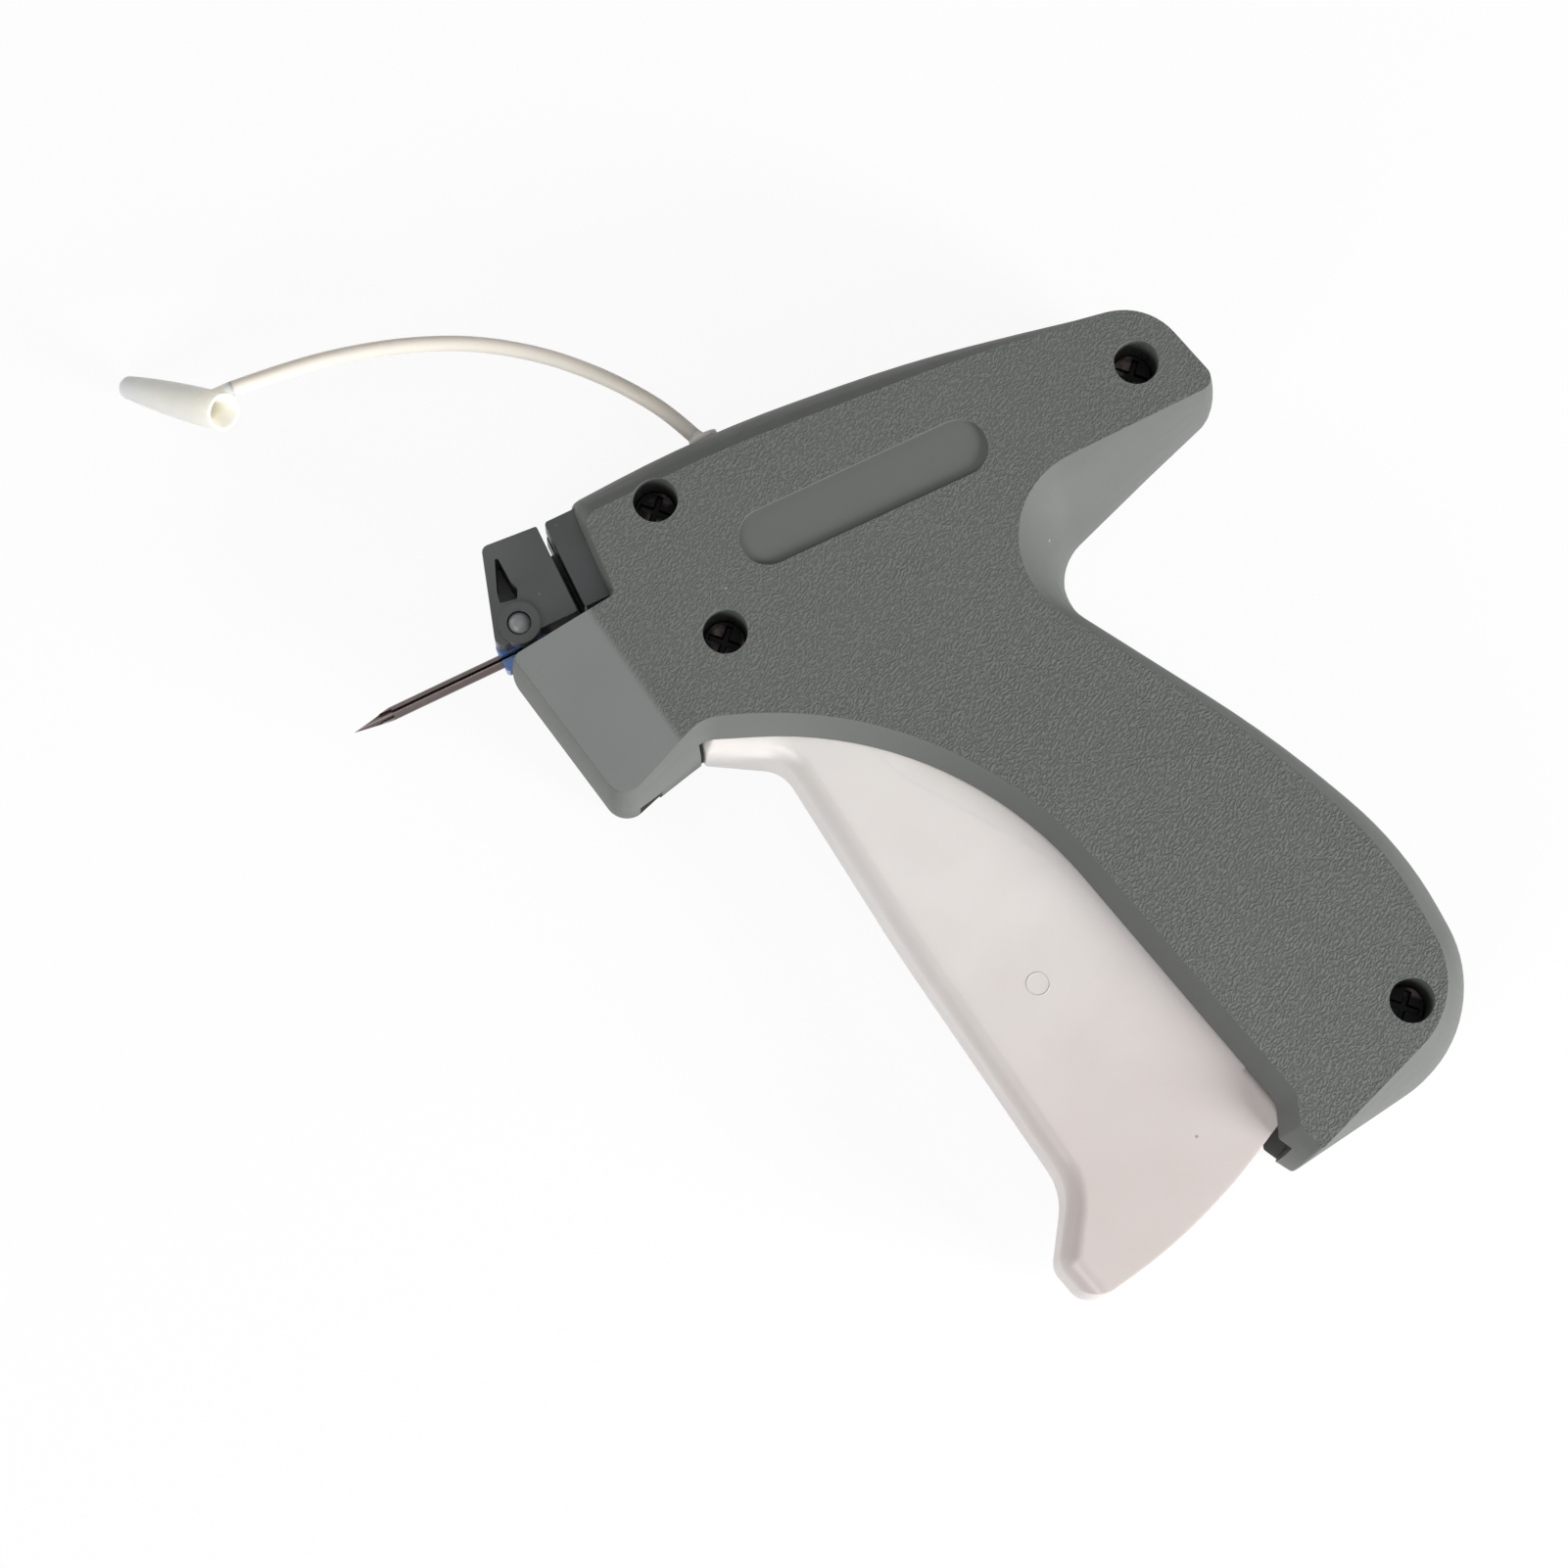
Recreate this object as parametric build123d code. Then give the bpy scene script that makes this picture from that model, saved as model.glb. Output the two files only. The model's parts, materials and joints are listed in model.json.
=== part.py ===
from build123d import *
import os
from math import atan2, copysign, cos, degrees, hypot, pi, radians, sin, tan

# Garment tag attacher, in millimetres. The tool lies on its right side: +X runs back along the barrel,
# +Y points to the top of the tool, +Z comes out of the left side. The origin lies on the face that the
# tool rests on, straight under the pivot of the trigger.

# ---- driving dimensions: housing ----
THICKNESS = 26.0            # over both shells
WALL = 2.2                  # moulded wall of the shells
SEAM = THICKNESS / 2        # height of the parting plane
ROUNDING_SECTIONS = 6       # sections of the outside from the seam to the flat side
HOLLOW_SECTIONS = 3         # sections of the hollow, which nobody sees
ROUNDING_SPAN = 64.0        # degrees of roundness; under 90 leaves a crease round the flat side
LEAST_RADIUS = 0.3          # smallest moulded corner

# Outline of the shells, clockwise from the top front corner: x, y and corner radius.
# SEAM_OUTLINE is the widest section, FACE_OUTLINE is the edge of the flat side.
SEAM_OUTLINE = [
    (-10.5, 25.8, 1.5),     # top front
    (9.0, 26.9, 180.0),     # crown of the barrel
    (42.0, 23.4, 200.0),
    (69.3, 16.2, 9.0),      # top of the beak
    (73.4, 0.4, 3.0),       # tip of the beak
    (40.1, -10.9, 7.2),     # web of the hand
    (59.6, -42.7, 150.0),   # back of the grip
    (68.6, -63.0, 50.0),
    (69.6, -90.1, 17.0),    # heel of the grip
    (36.8, -94.6, 0.6),     # end of the grip
    (34.0, -90.3, 0.6),
    (36.0, -86.0, 3.0),
    (21.1, -25.1, 49.0),    # long curve over the trigger
    (-8.8, -12.4, 3.0),
    (-22.3, -15.0, 3.2),    # chin of the nose
    (-26.9, 9.7, 1.2),      # brow of the nose
    (-11.2, 11.2, 1.0),     # step under the feed head
]
FACE_OUTLINE = [
    (-10.2, 21.8, 2.2),
    (11.0, 21.9, 150.0),
    (42.0, 19.4, 190.0),
    (68.9, 15.7, 8.6),
    (72.7, 1.7, 1.8),
    (29.5, 1.2, 12.0),
    (56.6, -43.4, 140.0),
    (64.6, -63.5, 45.0),
    (65.3, -84.7, 12.0),
    (39.4, -93.9, 0.5),
    (38.3, -89.9, 0.5),
    (39.7, -85.8, 3.0),
    (22.9, -20.7, 54.0),
    (-7.5, -8.9, 6.0),
    (-21.5, -14.2, 2.8),
    (-26.1, 9.1, 0.9),
    (-10.6, 10.7, 1.0),
]
SEAM_LIP = 11               # place in the outlines of the lip over the trigger's lower end
NOSE_FACET_X = -13.5        # where the smooth nose panel starts to slope
NOSE_FACET_DROP = 1.3       # what it loses towards the front edge
NOSE_FACET_LENGTH = 14.0
NOSE_FACET_TURN = 11.0      # lean of its crease
LABEL_START = (10.5, 8.9)   # bare label recess of the left side
LABEL_END = (38.1, 8.6)
LABEL_WIDTH = 7.6
LABEL_DEPTH = 0.6

# ---- screws ----
TRIGGER_PIVOT = (0.0, 0.0)
SCREW_PLACES = [(-0.6, 19.6), TRIGGER_PIVOT, (64.1, 8.8), (58.5, -81.8)]
COUNTERBORE_RADIUS = 2.95
COUNTERBORE_DEPTH = 10.0
BOSS_RADIUS = 3.75
SCREW_RADIUS = 1.45
SCREW_HEAD_RADIUS = 2.7
SCREW_HEAD_HEIGHT = 2.0
SCREW_LENGTH = 12.0
CROSS_WIDTH = 0.8           # cross recess of the screws
CROSS_DEPTH = 1.1

# ---- clearances ----
RUNNING = 0.05              # radial clearance of a pin in its hole
GAP = 0.3                   # between moving faces
SEAT = 0.02                 # between fixed pieces

# ---- barrel, needle and push rod ----
BARREL_Y = 11.2             # axis of the needle and the push rod
ROD_RADIUS = 0.6
ROD_END_X = -9.5            # front end of the rod at rest
NEEDLE_RADIUS = 0.93
NEEDLE_BORE = 0.66
NEEDLE_TIP_X = -48.7
NEEDLE_LANCE = 5.6          # length of the ground point
NEEDLE_REAR_X = -20.4
NEEDLE_SLOT = 0.55
NEEDLE_COLLAR_RADIUS = 1.14  # thicker part that the base holds
NEEDLE_COLLAR_DEPTH = 0.1   # from the front of the base to the collar
BASE_FRONT_X = -27.2
BASE_HEIGHT = 3.9
BASE_LEFT = 2.3             # from the barrel axis to the left side of the needle base
BASE_RIGHT = 1.4
CUTTER_THICKNESS = 0.5
CUTTER_LENGTH = 5.6
CUTTER_HEIGHT = 2.6
CUTTER_BEHIND = 1.0         # reaches past the rear of the needle

# ---- feed head ----
HEAD_WIDTH = 15.0
HEAD_TOP_Y = 24.2
HEAD_BOTTOM_Y = 11.7
SLOT_FRONT_X = -15.7        # fastener slot
SLOT_REAR_X = -14.6
PLATE_OUTLINE = [
    (-23.4, 24.8, 1.0),
    (SLOT_FRONT_X, HEAD_TOP_Y, LEAST_RADIUS),
    (SLOT_FRONT_X, HEAD_BOTTOM_Y, LEAST_RADIUS),
    (-27.5, HEAD_BOTTOM_Y, 1.2),
]
WINDOW_OUTLINE = [
    (-22.5, 22.6, 0.15),
    (-22.1, 22.5, 0.15),
    (-21.9, 18.9, 1.0),
    (-21.5, 17.8, 0.5),
    (-22.1, 16.6, 0.2),
    (-24.4, 17.0, 0.2),
    (-24.1, 18.6, 1.0),
]
WINDOW_DEPTH = 8.0
BLOCK_REAR_X = -7.9
BACKING_THICKNESS = 1.5     # plate behind the fastener slot
BACKING_TOP_Y = 22.3
BACKING_FRONT_X = -19.4
BAR_CHANNEL_FRONT_X = -19.8  # channel of the fasteners' cross bars
BAR_CHANNEL_REAR_X = -10.4
BAR_CHANNEL_WIDTH = 2.8
RAIL_FRONT_X = -19.2        # channel of the spent rail
RAIL_REAR_X = -15.7
LEG_LENGTH = 8.0            # leg of the front plate in the nose
LEG_FRONT_X = -24.5
LEG_REAR_X = -20.6

# ---- needle lock ----
LOCK_PLACE = (-23.3, 13.5)
LOCK_PIN_RADIUS = 1.55
LOCK_BOSS_RADIUS = 2.8
LOCK_BOSS_HEIGHT = 0.5
LOCK_DOME = 0.7
LOCK_FLAT = 0.35            # distance of the flat from the pin's axis
LOCK_TURN = 70.0            # degrees clockwise that set the flat over the needle base
LOCK_ARM_TIP = (-20.6, 21.6)
LOCK_ARM_RADIUS = 1.7
LOCK_THICKNESS = 2.0

# ---- trigger ----
TRIGGER_WIDTH = 16.8
TRIGGER_SWING = 17.0        # degrees from rest to fully squeezed
TRIGGER_WALL = 2.2
TRIGGER_HUB_RADIUS = 5.6
TRIGGER_ROUNDING = 3.0      # front edges, held by the fingers
TRIGGER_EDGE = 0.6          # bottom edges
TRIGGER_OUTLINE = [
    (-8.5, -6.0, 2.0),      # front of the hub
    (-8.7, -12.3, 0.6),     # brow under the housing
    (0.2, -17.6, 5.0),
    (3.2, -46.0, 400.0),    # finger grip
    (8.7, -83.6, 8.5),
    (3.0, -92.2, 3.0),
    (4.6, -98.6, 3.6),      # toe
    (21.0, -96.2, 76.0),
    (39.5, -86.9, 1.0),     # heel, inside the grip
    (29.8, -45.0, 40.0),
    (15.4, -25.2, 20.0),
    (5.4, 2.0, 1.0),        # back of the hub
    (-5.0, 4.0, 2.0),
]

# ---- drive lever ----
LEVER_PIVOT = (26.0, -16.0)
LEVER_ARM = 30.0            # up to the slider
LEVER_SHORT_ARM = 10.0      # down to the trigger
LEVER_SWING = 66.0          # degrees while the trigger makes its swing
LEVER_SHORT_ANGLE = -50.0   # direction of the short arm halfway
LEVER_THICKNESS = 3.6
LEVER_HUB_RADIUS = 4.0
LEVER_COLLAR_RADIUS = 3.3   # collars that keep the lever between the trigger's cheeks
LEVER_END_RADIUS = 2.8
LEVER_POCKET = 0.8
LEVER_POCKET_RIM = 1.5
LEVER_POCKET_SPAN = (0.28, 0.8)     # shares of the long arm
PIVOT_PIN_RADIUS = 1.5
PIVOT_PIN_LENGTH = 22.0
PIVOT_BOSS_RADIUS = 3.0
LINK_PIN_RADIUS = 1.25
LINK_PIN_LENGTH = 10.0
SLOT_WALL = 1.9             # material around a cam slot
HORN_FOOT = (20.4, -41.4)   # lower end of the trigger's drive horn
HORN_THICKNESS = 2.6
CAM_POINTS = 13             # places of the pin worked out along each cam slot

# ---- slider ----
SLIDER_LENGTH = 18.0
SLIDER_BOTTOM_Y = 6.8
SLIDER_TOP_Y = 15.2
SLIDER_FRONT_TOP_Y = 13.6
SLIDER_FRONT = 3.4          # length of the solid front block
SLIDER_WALL = 2.0
SLIDER_WING_WIDTH = 16.6
SLIDER_WING_LOW_Y = 9.8
SLIDER_WING_HIGH_Y = 12.6
TRACK_RIB = 1.5
TRACK_DEPTH = 5.0
TRACK_FRONT_X = -3.5
TRACK_REAR_X = 54.0

# ---- return spring ----
SPRING_RADIUS_OF_SEAT = 51.7    # distance of its seat from the trigger pivot
SPRING_SEAT_ANGLE = -60.5
SPRING_LENGTH = 25.0
SPRING_RADIUS = 3.4
SPRING_WIRE = 0.9
SPRING_TURNS = 5
SPRING_WIRE_POINTS = 6          # corners that the round wire is drawn with
SPIGOT_RADIUS = 2.2
SPIGOT_LENGTH = 2.5
SEAT_WIDTH = 9.0
SEAT_THICKNESS = 1.8

# ---- fastener feed ----
WHEEL_PLACE = (-11.9, 2.5)
WHEEL_TEETH = 12
WHEEL_TIP_RADIUS = 4.0
WHEEL_ROOT_RADIUS = 3.0
WHEEL_THICKNESS = 2.8
WHEEL_BOTTOM_Z = 7.4
AXLE_RADIUS = 1.0
AXLE_LENGTH = 16.8
AXLE_FOOT = 1.0             # from the inside of the right shell to the end of the axle
AXLE_BOSS_RADIUS = 2.1
ROCKER_THICKNESS = 1.8
ROCKER_HUB_RADIUS = 2.4
ROCKER_PIN_ARM = 4.2
ROCKER_PIN_RADIUS = 0.8
ROCKER_END_RADIUS = 1.5
ROCKER_SWING = -30.0        # degrees, one tooth, against the trigger
FEED_HORN_THICKNESS = 2.0
FEED_HORN_WALL = 1.1
PAWL_THICKNESS = 0.4
PAWL_ANGLE = 105.0          # tooth gap that the feed pawl drops into
PAWL_POST_ANGLE = 60.0
PAWL_POST_REACH = 5.4
PAWL_POST_RADIUS = 0.8
HOLD_PAWL_ANGLE = 285.0
HOLD_POST_PLACE = (-12.9, -6.6)

# ---- needle cap on its strap ----
ANCHOR_X = 9.9
ANCHOR_HOLE_RADIUS = 1.5
ANCHOR_COLLAR_RADIUS = 2.0
ANCHOR_COLLAR_LOW_Y = 26.4
ANCHOR_COLLAR_HEIGHT = 0.7
ANCHOR_ROOT_RADIUS = 1.3    # where the strap grows out of the collar
ANCHOR_HEAD_RADIUS = 2.4
ANCHOR_HEAD_HEIGHT = 1.2
STRAP_DIAMETER = 2.1
STRAP_ROUTE = [
    (8.9, 27.7, 13.0),
    (7.4, 31.4, 13.0),
    (5.0, 35.4, 13.2),
    (1.4, 40.2, 13.4),
    (-4.2, 45.9, 13.9),
    (-11.8, 51.2, 14.7),
    (-20.4, 54.9, 15.4),
    (-29.4, 57.3, 16.1),
    (-37.3, 58.5, 16.5),
    (-43.6, 59.1, 16.6),
]
STRAP_FILL = 0.45           # share of the shorter run that an arc takes
STRAP_SECTION_POINTS = 8    # corners that the round strap is drawn with
CAP_CLOSED_END = (-55.6, 68.8, 1.7)     # centre of the rounded end
CAP_OPEN_END = (-46.0, 56.5, 17.5)
CAP_TIP_RADIUS = 1.6
CAP_TIP_LENGTH = 1.2        # from the centre of the rounded end to its face
CAP_TIP_ROUNDING = 1.1
CAP_MIDDLE_RADIUS = 2.34
CAP_OPEN_RADIUS = 2.5
CAP_MOUTH_RADIUS = 2.1      # funnel that finds the needle
CAP_FUNNEL = 2.2
CAP_BORE = 1.1
CAP_BORE_END = 1.0
CAP_LUG_LENGTH = 4.3        # strap's root in the side of the cap
CAP_LUG_RADIUS = 0.75       # at its inner end

# ---- derived places ----
STAND = (Align.CENTER, Align.CENTER, Align.MIN)
INNER_TOP = THICKNESS - WALL
HEAD_LEFT = SEAM + HEAD_WIDTH / 2
HEAD_RIGHT = SEAM - HEAD_WIDTH / 2
TRIGGER_LEFT = SEAM + TRIGGER_WIDTH / 2
TRIGGER_RIGHT = SEAM - TRIGGER_WIDTH / 2
LEVER_HALF_SWING = radians(LEVER_SWING / 2)
LEVER_RATIO = LEVER_SWING / TRIGGER_SWING
ROCKER_RATIO = ROCKER_SWING / TRIGGER_SWING
TRAVEL = 2 * LEVER_ARM * sin(LEVER_HALF_SWING)
LEVER_TOP_REST = (LEVER_PIVOT[0] + TRAVEL / 2, LEVER_PIVOT[1] + LEVER_ARM * cos(LEVER_HALF_SWING))
LEVER_LOW_ANGLE = LEVER_SHORT_ANGLE - LEVER_SWING / 2
ROCKER_BOTTOM_Z = WHEEL_BOTTOM_Z + WHEEL_THICKNESS + GAP
HORN_BOTTOM_Z = ROCKER_BOTTOM_Z + ROCKER_THICKNESS + GAP
SLIDER_GAP = LEVER_THICKNESS / 2 + 2 * GAP
LEAF_LOW_Z = WHEEL_BOTTOM_Z + GAP
LEAF_HIGH_Z = WHEEL_BOTTOM_Z + WHEEL_THICKNESS - GAP
AXLE_LOW_Z = WALL + AXLE_FOOT
AXLE_HIGH_Z = AXLE_LOW_Z + AXLE_LENGTH
CUTTER_LOW_Z = SEAM - BASE_RIGHT - 2 * SEAT - CUTTER_THICKNESS
CUTTER_FRONT_X = NEEDLE_REAR_X + CUTTER_BEHIND - CUTTER_LENGTH
CUTTER_LOW_Y = BARREL_Y - CUTTER_HEIGHT / 2
LEVER_HUB_HALF = TRIGGER_WIDTH / 2 - TRIGGER_WALL - GAP
FAR = 5 * THICKNESS         # beyond the end of any piece


# ---- helpers ----
def polar(centre, radius, angle):
    """Point at a distance and an angle in degrees from a centre."""
    return (centre[0] + radius * cos(radians(angle)), centre[1] + radius * sin(radians(angle)))


def turned(point, angle):
    """Point turned about the trigger pivot by an angle in degrees."""
    x, y = point[0] - TRIGGER_PIVOT[0], point[1] - TRIGGER_PIVOT[1]
    c, s = cos(radians(angle)), sin(radians(angle))
    return (TRIGGER_PIVOT[0] + x * c - y * s, TRIGGER_PIVOT[1] + x * s + y * c)


def unit(start, end):
    """Direction from one point to another."""
    length = hypot(end[0] - start[0], end[1] - start[1])
    return ((end[0] - start[0]) / length, (end[1] - start[1]) / length)


def post(place, radius, low, high):
    """Round post along Z between two heights."""
    return Pos(place[0], place[1], low) * Cylinder(radius, high - low, align=STAND)


def tube(place, outer, inner, low, high):
    """Round tube along Z between two heights."""
    return post(place, outer, low, high) - post(place, inner, low, high)


def bar(x0, x1, y0, y1, z0, z1):
    """Rectangular bar between two corners."""
    middle = Pos((x0 + x1) / 2, (y0 + y1) / 2, (z0 + z1) / 2)
    return middle * Box(abs(x1 - x0), abs(y1 - y0), abs(z1 - z0))


def x_rod(radius, x0, x1):
    """Round rod on the barrel axis."""
    start = Plane((x0, BARREL_Y, SEAM), z_dir=(1, 0, 0))
    return start * Cylinder(radius, x1 - x0, align=STAND)


def plate(face, low, high):
    """Flat face in the XY plane raised between two heights."""
    return Pos(0, 0, low) * extrude(face, high - low, dir=(0, 0, 1))


def inset(corners, distance):
    """Move each side of a clockwise outline inwards, its round corners staying concentric."""
    moved = []
    for i, (x, y, radius) in enumerate(corners):
        ux, uy = unit(corners[i - 1], (x, y))
        vx, vy = unit((x, y), corners[(i + 1) % len(corners)])
        share = distance / (1 + ux * vx + uy * vy)
        rounded = max(radius + distance * copysign(1, ux * vy - uy * vx), LEAST_RADIUS)
        moved.append((x + share * (uy + vy), y - share * (ux + vx), rounded))
    return moved


def between(outer, inner, share):
    """Outline part of the way from one outline to another that has as many corners."""
    return [tuple(b + (a - b) * share for a, b in zip(p, q)) for p, q in zip(outer, inner)]


def outline(corners, height=0.0):
    """Closed outline of straight sides and tangent arcs."""
    points = [(x, y, height) for x, y, _ in corners]
    return FilletPolyline(*points, radius=[r for _, _, r in corners], close=True)


def region(corners):
    """Face inside a closed outline."""
    return make_face(outline(corners).edges())


def link(ends):
    """Face of a strap drawn tightly round several discs, each given as place and radius."""
    discs = [edge for place, radius in ends for edge in (Pos(*place) * Circle(radius)).edges()]
    return make_hull(discs)


def track(points, radius):
    """Face that a disc sweeps on its way through a row of points."""
    pieces = [link([(start, radius), (end, radius)]) for start, end in zip(points, points[1:])]
    face = pieces[0]
    for piece in pieces[1:]:
        face += piece
    return face


def ribbon(points, half_width):
    """Face of an even band along a curve through a few points, with square ends."""
    left, right = [], []
    for i, point in enumerate(points):
        ux, uy = unit(points[max(i - 1, 0)], points[min(i + 1, len(points) - 1)])
        left.append((point[0] - uy * half_width, point[1] + ux * half_width))
        right.append((point[0] + uy * half_width, point[1] - ux * half_width))
    sides = Spline(*left) + Line(left[-1], right[-1]) + Spline(*reversed(right)) + Line(right[0], left[0])
    return make_face(sides.edges())


def steps():
    """Shares of the stroke at which the cam slots are worked out."""
    return [i / (CAM_POINTS - 1) for i in range(CAM_POINTS)]


def pin_path(pivot, arm, rest_angle, ratio):
    """Centre line, in the trigger, of the slot that turns a pin about a pivot at a constant ratio."""
    swings = [TRIGGER_SWING * share for share in steps()]
    return [turned(polar(pivot, arm, rest_angle + ratio * swing), -swing) for swing in swings]


# ---- shells ----
def half_body(seam, face, rise, sections):
    """Half of a rounded body above the parting plane, from its widest section to its flat side."""
    span = radians(ROUNDING_SPAN)
    wires = []
    for i in range(sections):
        angle = span * i / (sections - 1)
        share = (cos(angle) - cos(span)) / (1 - cos(span))
        wires.append(outline(between(seam, face, share), rise * sin(angle) / sin(span)).wire())
    return Pos(0, 0, SEAM) * Solid.make_loft(wires, ruled=True)


def nose_facet():
    """What the sloping nose panel loses."""
    low = THICKNESS - NOSE_FACET_DROP
    side = Polyline(
        (0, THICKNESS), (-NOSE_FACET_LENGTH, low), (-2 * NOSE_FACET_LENGTH, low - NOSE_FACET_DROP),
        (-2 * NOSE_FACET_LENGTH, THICKNESS + WALL), (0, THICKNESS + WALL), close=True)
    wedge = extrude(Plane.XZ * make_face(side.edges()), 2 * THICKNESS, both=True)
    return Pos(NOSE_FACET_X, 0, 0) * Rot(0, 0, NOSE_FACET_TURN) * wedge


def outer_half():
    """Outer form of the left shell."""
    return half_body(SEAM_OUTLINE, FACE_OUTLINE, SEAM, ROUNDING_SECTIONS) - nose_facet()


def cavity_half():
    """Hollow of the left shell."""
    return half_body(inset(SEAM_OUTLINE, WALL), inset(FACE_OUTLINE, WALL), SEAM - WALL, HOLLOW_SECTIONS)


def beyond(start, end, length):
    """Sharp corner that lies further along a side than its end."""
    ux, uy = unit(start[:2], end[:2])
    return (end[0] + ux * length, end[1] + uy * length, 0)


def trigger_window():
    """Opening along the grip and the barrel that the trigger moves in."""
    lip, curve, front = range(SEAM_LIP, SEAM_LIP + 3)
    inner, outer = inset(SEAM_OUTLINE, 3 * WALL), inset(SEAM_OUTLINE, -3 * WALL)
    loop = [
        beyond(inner[curve], inner[lip], THICKNESS / 2), inner[curve],
        beyond(inner[curve], inner[front], 2 * GAP), beyond(outer[curve], outer[front], 2 * GAP),
        outer[curve], beyond(outer[curve], outer[lip], THICKNESS / 2)]
    toe = max(hypot(x, y) for x, y, _ in TRIGGER_OUTLINE)
    opening = region(loop) & (Pos(*TRIGGER_PIVOT) * Circle(toe + GAP))
    return plate(opening, TRIGGER_RIGHT - GAP, TRIGGER_LEFT + GAP)


def spring_frame():
    """Plane at the spring's seat on the trigger, its Z along the spring."""
    place = polar(TRIGGER_PIVOT, SPRING_RADIUS_OF_SEAT, SPRING_SEAT_ANGLE)
    along = polar((0, 0), 1, SPRING_SEAT_ANGLE + 90)
    return Plane((place[0], place[1], SEAM), x_dir=(0, 0, 1), z_dir=(along[0], along[1], 0))


def housing_spring_seat():
    """Solid rib and spigot that the spring's rear end stands on."""
    rib = spring_frame() * Pos(0, 0, SPRING_LENGTH) * Box(THICKNESS, SEAT_WIDTH, SEAT_WIDTH, align=STAND)
    spigot = spring_frame() * Pos(0, 0, SPRING_LENGTH - SPIGOT_LENGTH)
    return rib + spigot * Cylinder(SPIGOT_RADIUS, SPIGOT_LENGTH, align=STAND)


def track_ribs():
    """Ribs of the left shell that the slider's wing runs between."""
    low = INNER_TOP - TRACK_DEPTH
    below = bar(TRACK_FRONT_X, TRACK_REAR_X, SLIDER_WING_LOW_Y - GAP - TRACK_RIB, SLIDER_WING_LOW_Y - GAP,
                low, INNER_TOP)
    above = bar(TRACK_FRONT_X, TRACK_REAR_X, SLIDER_WING_HIGH_Y + GAP, SLIDER_WING_HIGH_Y + GAP + TRACK_RIB,
                low, INNER_TOP)
    return below + above


def bosses():
    """Bosses of the left shell for the screws and for the pins of the mechanism."""
    solids = [post(place, BOSS_RADIUS, SEAM, INNER_TOP) for place in SCREW_PLACES]
    solids.append(post(TRIGGER_PIVOT, TRIGGER_HUB_RADIUS, TRIGGER_LEFT + GAP, INNER_TOP))
    solids.append(post(LEVER_PIVOT, PIVOT_BOSS_RADIUS, TRIGGER_LEFT + GAP, INNER_TOP))
    return solids


def head_opening():
    """Room for the feed head in the front wall of the barrel."""
    return bar(2 * NEEDLE_REAR_X, BLOCK_REAR_X + SEAT, HEAD_BOTTOM_Y - SEAT, HEAD_TOP_Y + 2 * SEAT,
               HEAD_RIGHT - SEAT, HEAD_LEFT + SEAT)


def base_pocket():
    """Room for the needle base and the cutter at the top of the nose."""
    base = bar(2 * BASE_FRONT_X, NEEDLE_REAR_X + SEAT, BARREL_Y - BASE_HEIGHT / 2 - SEAT, HEAD_BOTTOM_Y,
               SEAM - BASE_RIGHT - SEAT, SEAM + BASE_LEFT + SEAT)
    cutter = bar(CUTTER_FRONT_X - SEAT, CUTTER_FRONT_X + CUTTER_LENGTH, CUTTER_LOW_Y - SEAT, HEAD_BOTTOM_Y,
                 CUTTER_LOW_Z - SEAT, SEAM)
    return base + cutter


def anchor_hole():
    """Hole for the strap's anchor at the top of the barrel."""
    start = Plane((ANCHOR_X, ANCHOR_COLLAR_LOW_Y - 3 * WALL, SEAM), z_dir=(0, 1, 0))
    return start * Cylinder(ANCHOR_HOLE_RADIUS, 4 * WALL, align=STAND)


def bare_half():
    """Wall, bosses and ribs that both shells share, as the left one."""
    outer = outer_half()
    shell = outer - cavity_half()
    for solid in [*bosses(), track_ribs(), housing_spring_seat() - bar(0, FAR, -FAR, 0, 0, SEAM)]:
        shell += solid & outer
    return shell - trigger_window() - anchor_hole()


def head_seat():
    """Everything that the fixed pieces of the head take out of the shells."""
    leg = bar(LEG_FRONT_X - SEAT, LEG_REAR_X + SEAT, HEAD_BOTTOM_Y - LEG_LENGTH - SEAT, HEAD_BOTTOM_Y,
              HEAD_RIGHT - SEAT, SEAM - SEAT)
    return head_opening() + base_pocket() + leg + bar_channel() + rail_channel() + rod_path()


def rod_path():
    """Room for the push rod through fixed pieces."""
    return x_rod(ROD_RADIUS + RUNNING, NEEDLE_REAR_X, TRACK_REAR_X)


def left_shell():
    """Left half of the housing with the deep screw holes and the bare label recess."""
    shell = bare_half()
    shell += post(WHEEL_PLACE, AXLE_BOSS_RADIUS, HORN_BOTTOM_Z + FEED_HORN_THICKNESS + GAP, INNER_TOP)
    for place in SCREW_PLACES:
        shell -= post(place, COUNTERBORE_RADIUS, THICKNESS - COUNTERBORE_DEPTH, THICKNESS + WALL)
        shell -= post(place, SCREW_RADIUS + RUNNING, SEAM - WALL, THICKNESS)
    shell -= post(LEVER_PIVOT, PIVOT_PIN_RADIUS + SEAT, SEAM, SEAM + PIVOT_PIN_LENGTH / 2 + SEAT)
    shell -= post(WHEEL_PLACE, AXLE_RADIUS + SEAT, SEAM, AXLE_HIGH_Z + SEAT)
    pill = link([(LABEL_START, LABEL_WIDTH / 2), (LABEL_END, LABEL_WIDTH / 2)])
    label = plate(pill, THICKNESS - LABEL_DEPTH, THICKNESS + WALL)
    return shell - label - head_seat()


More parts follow.
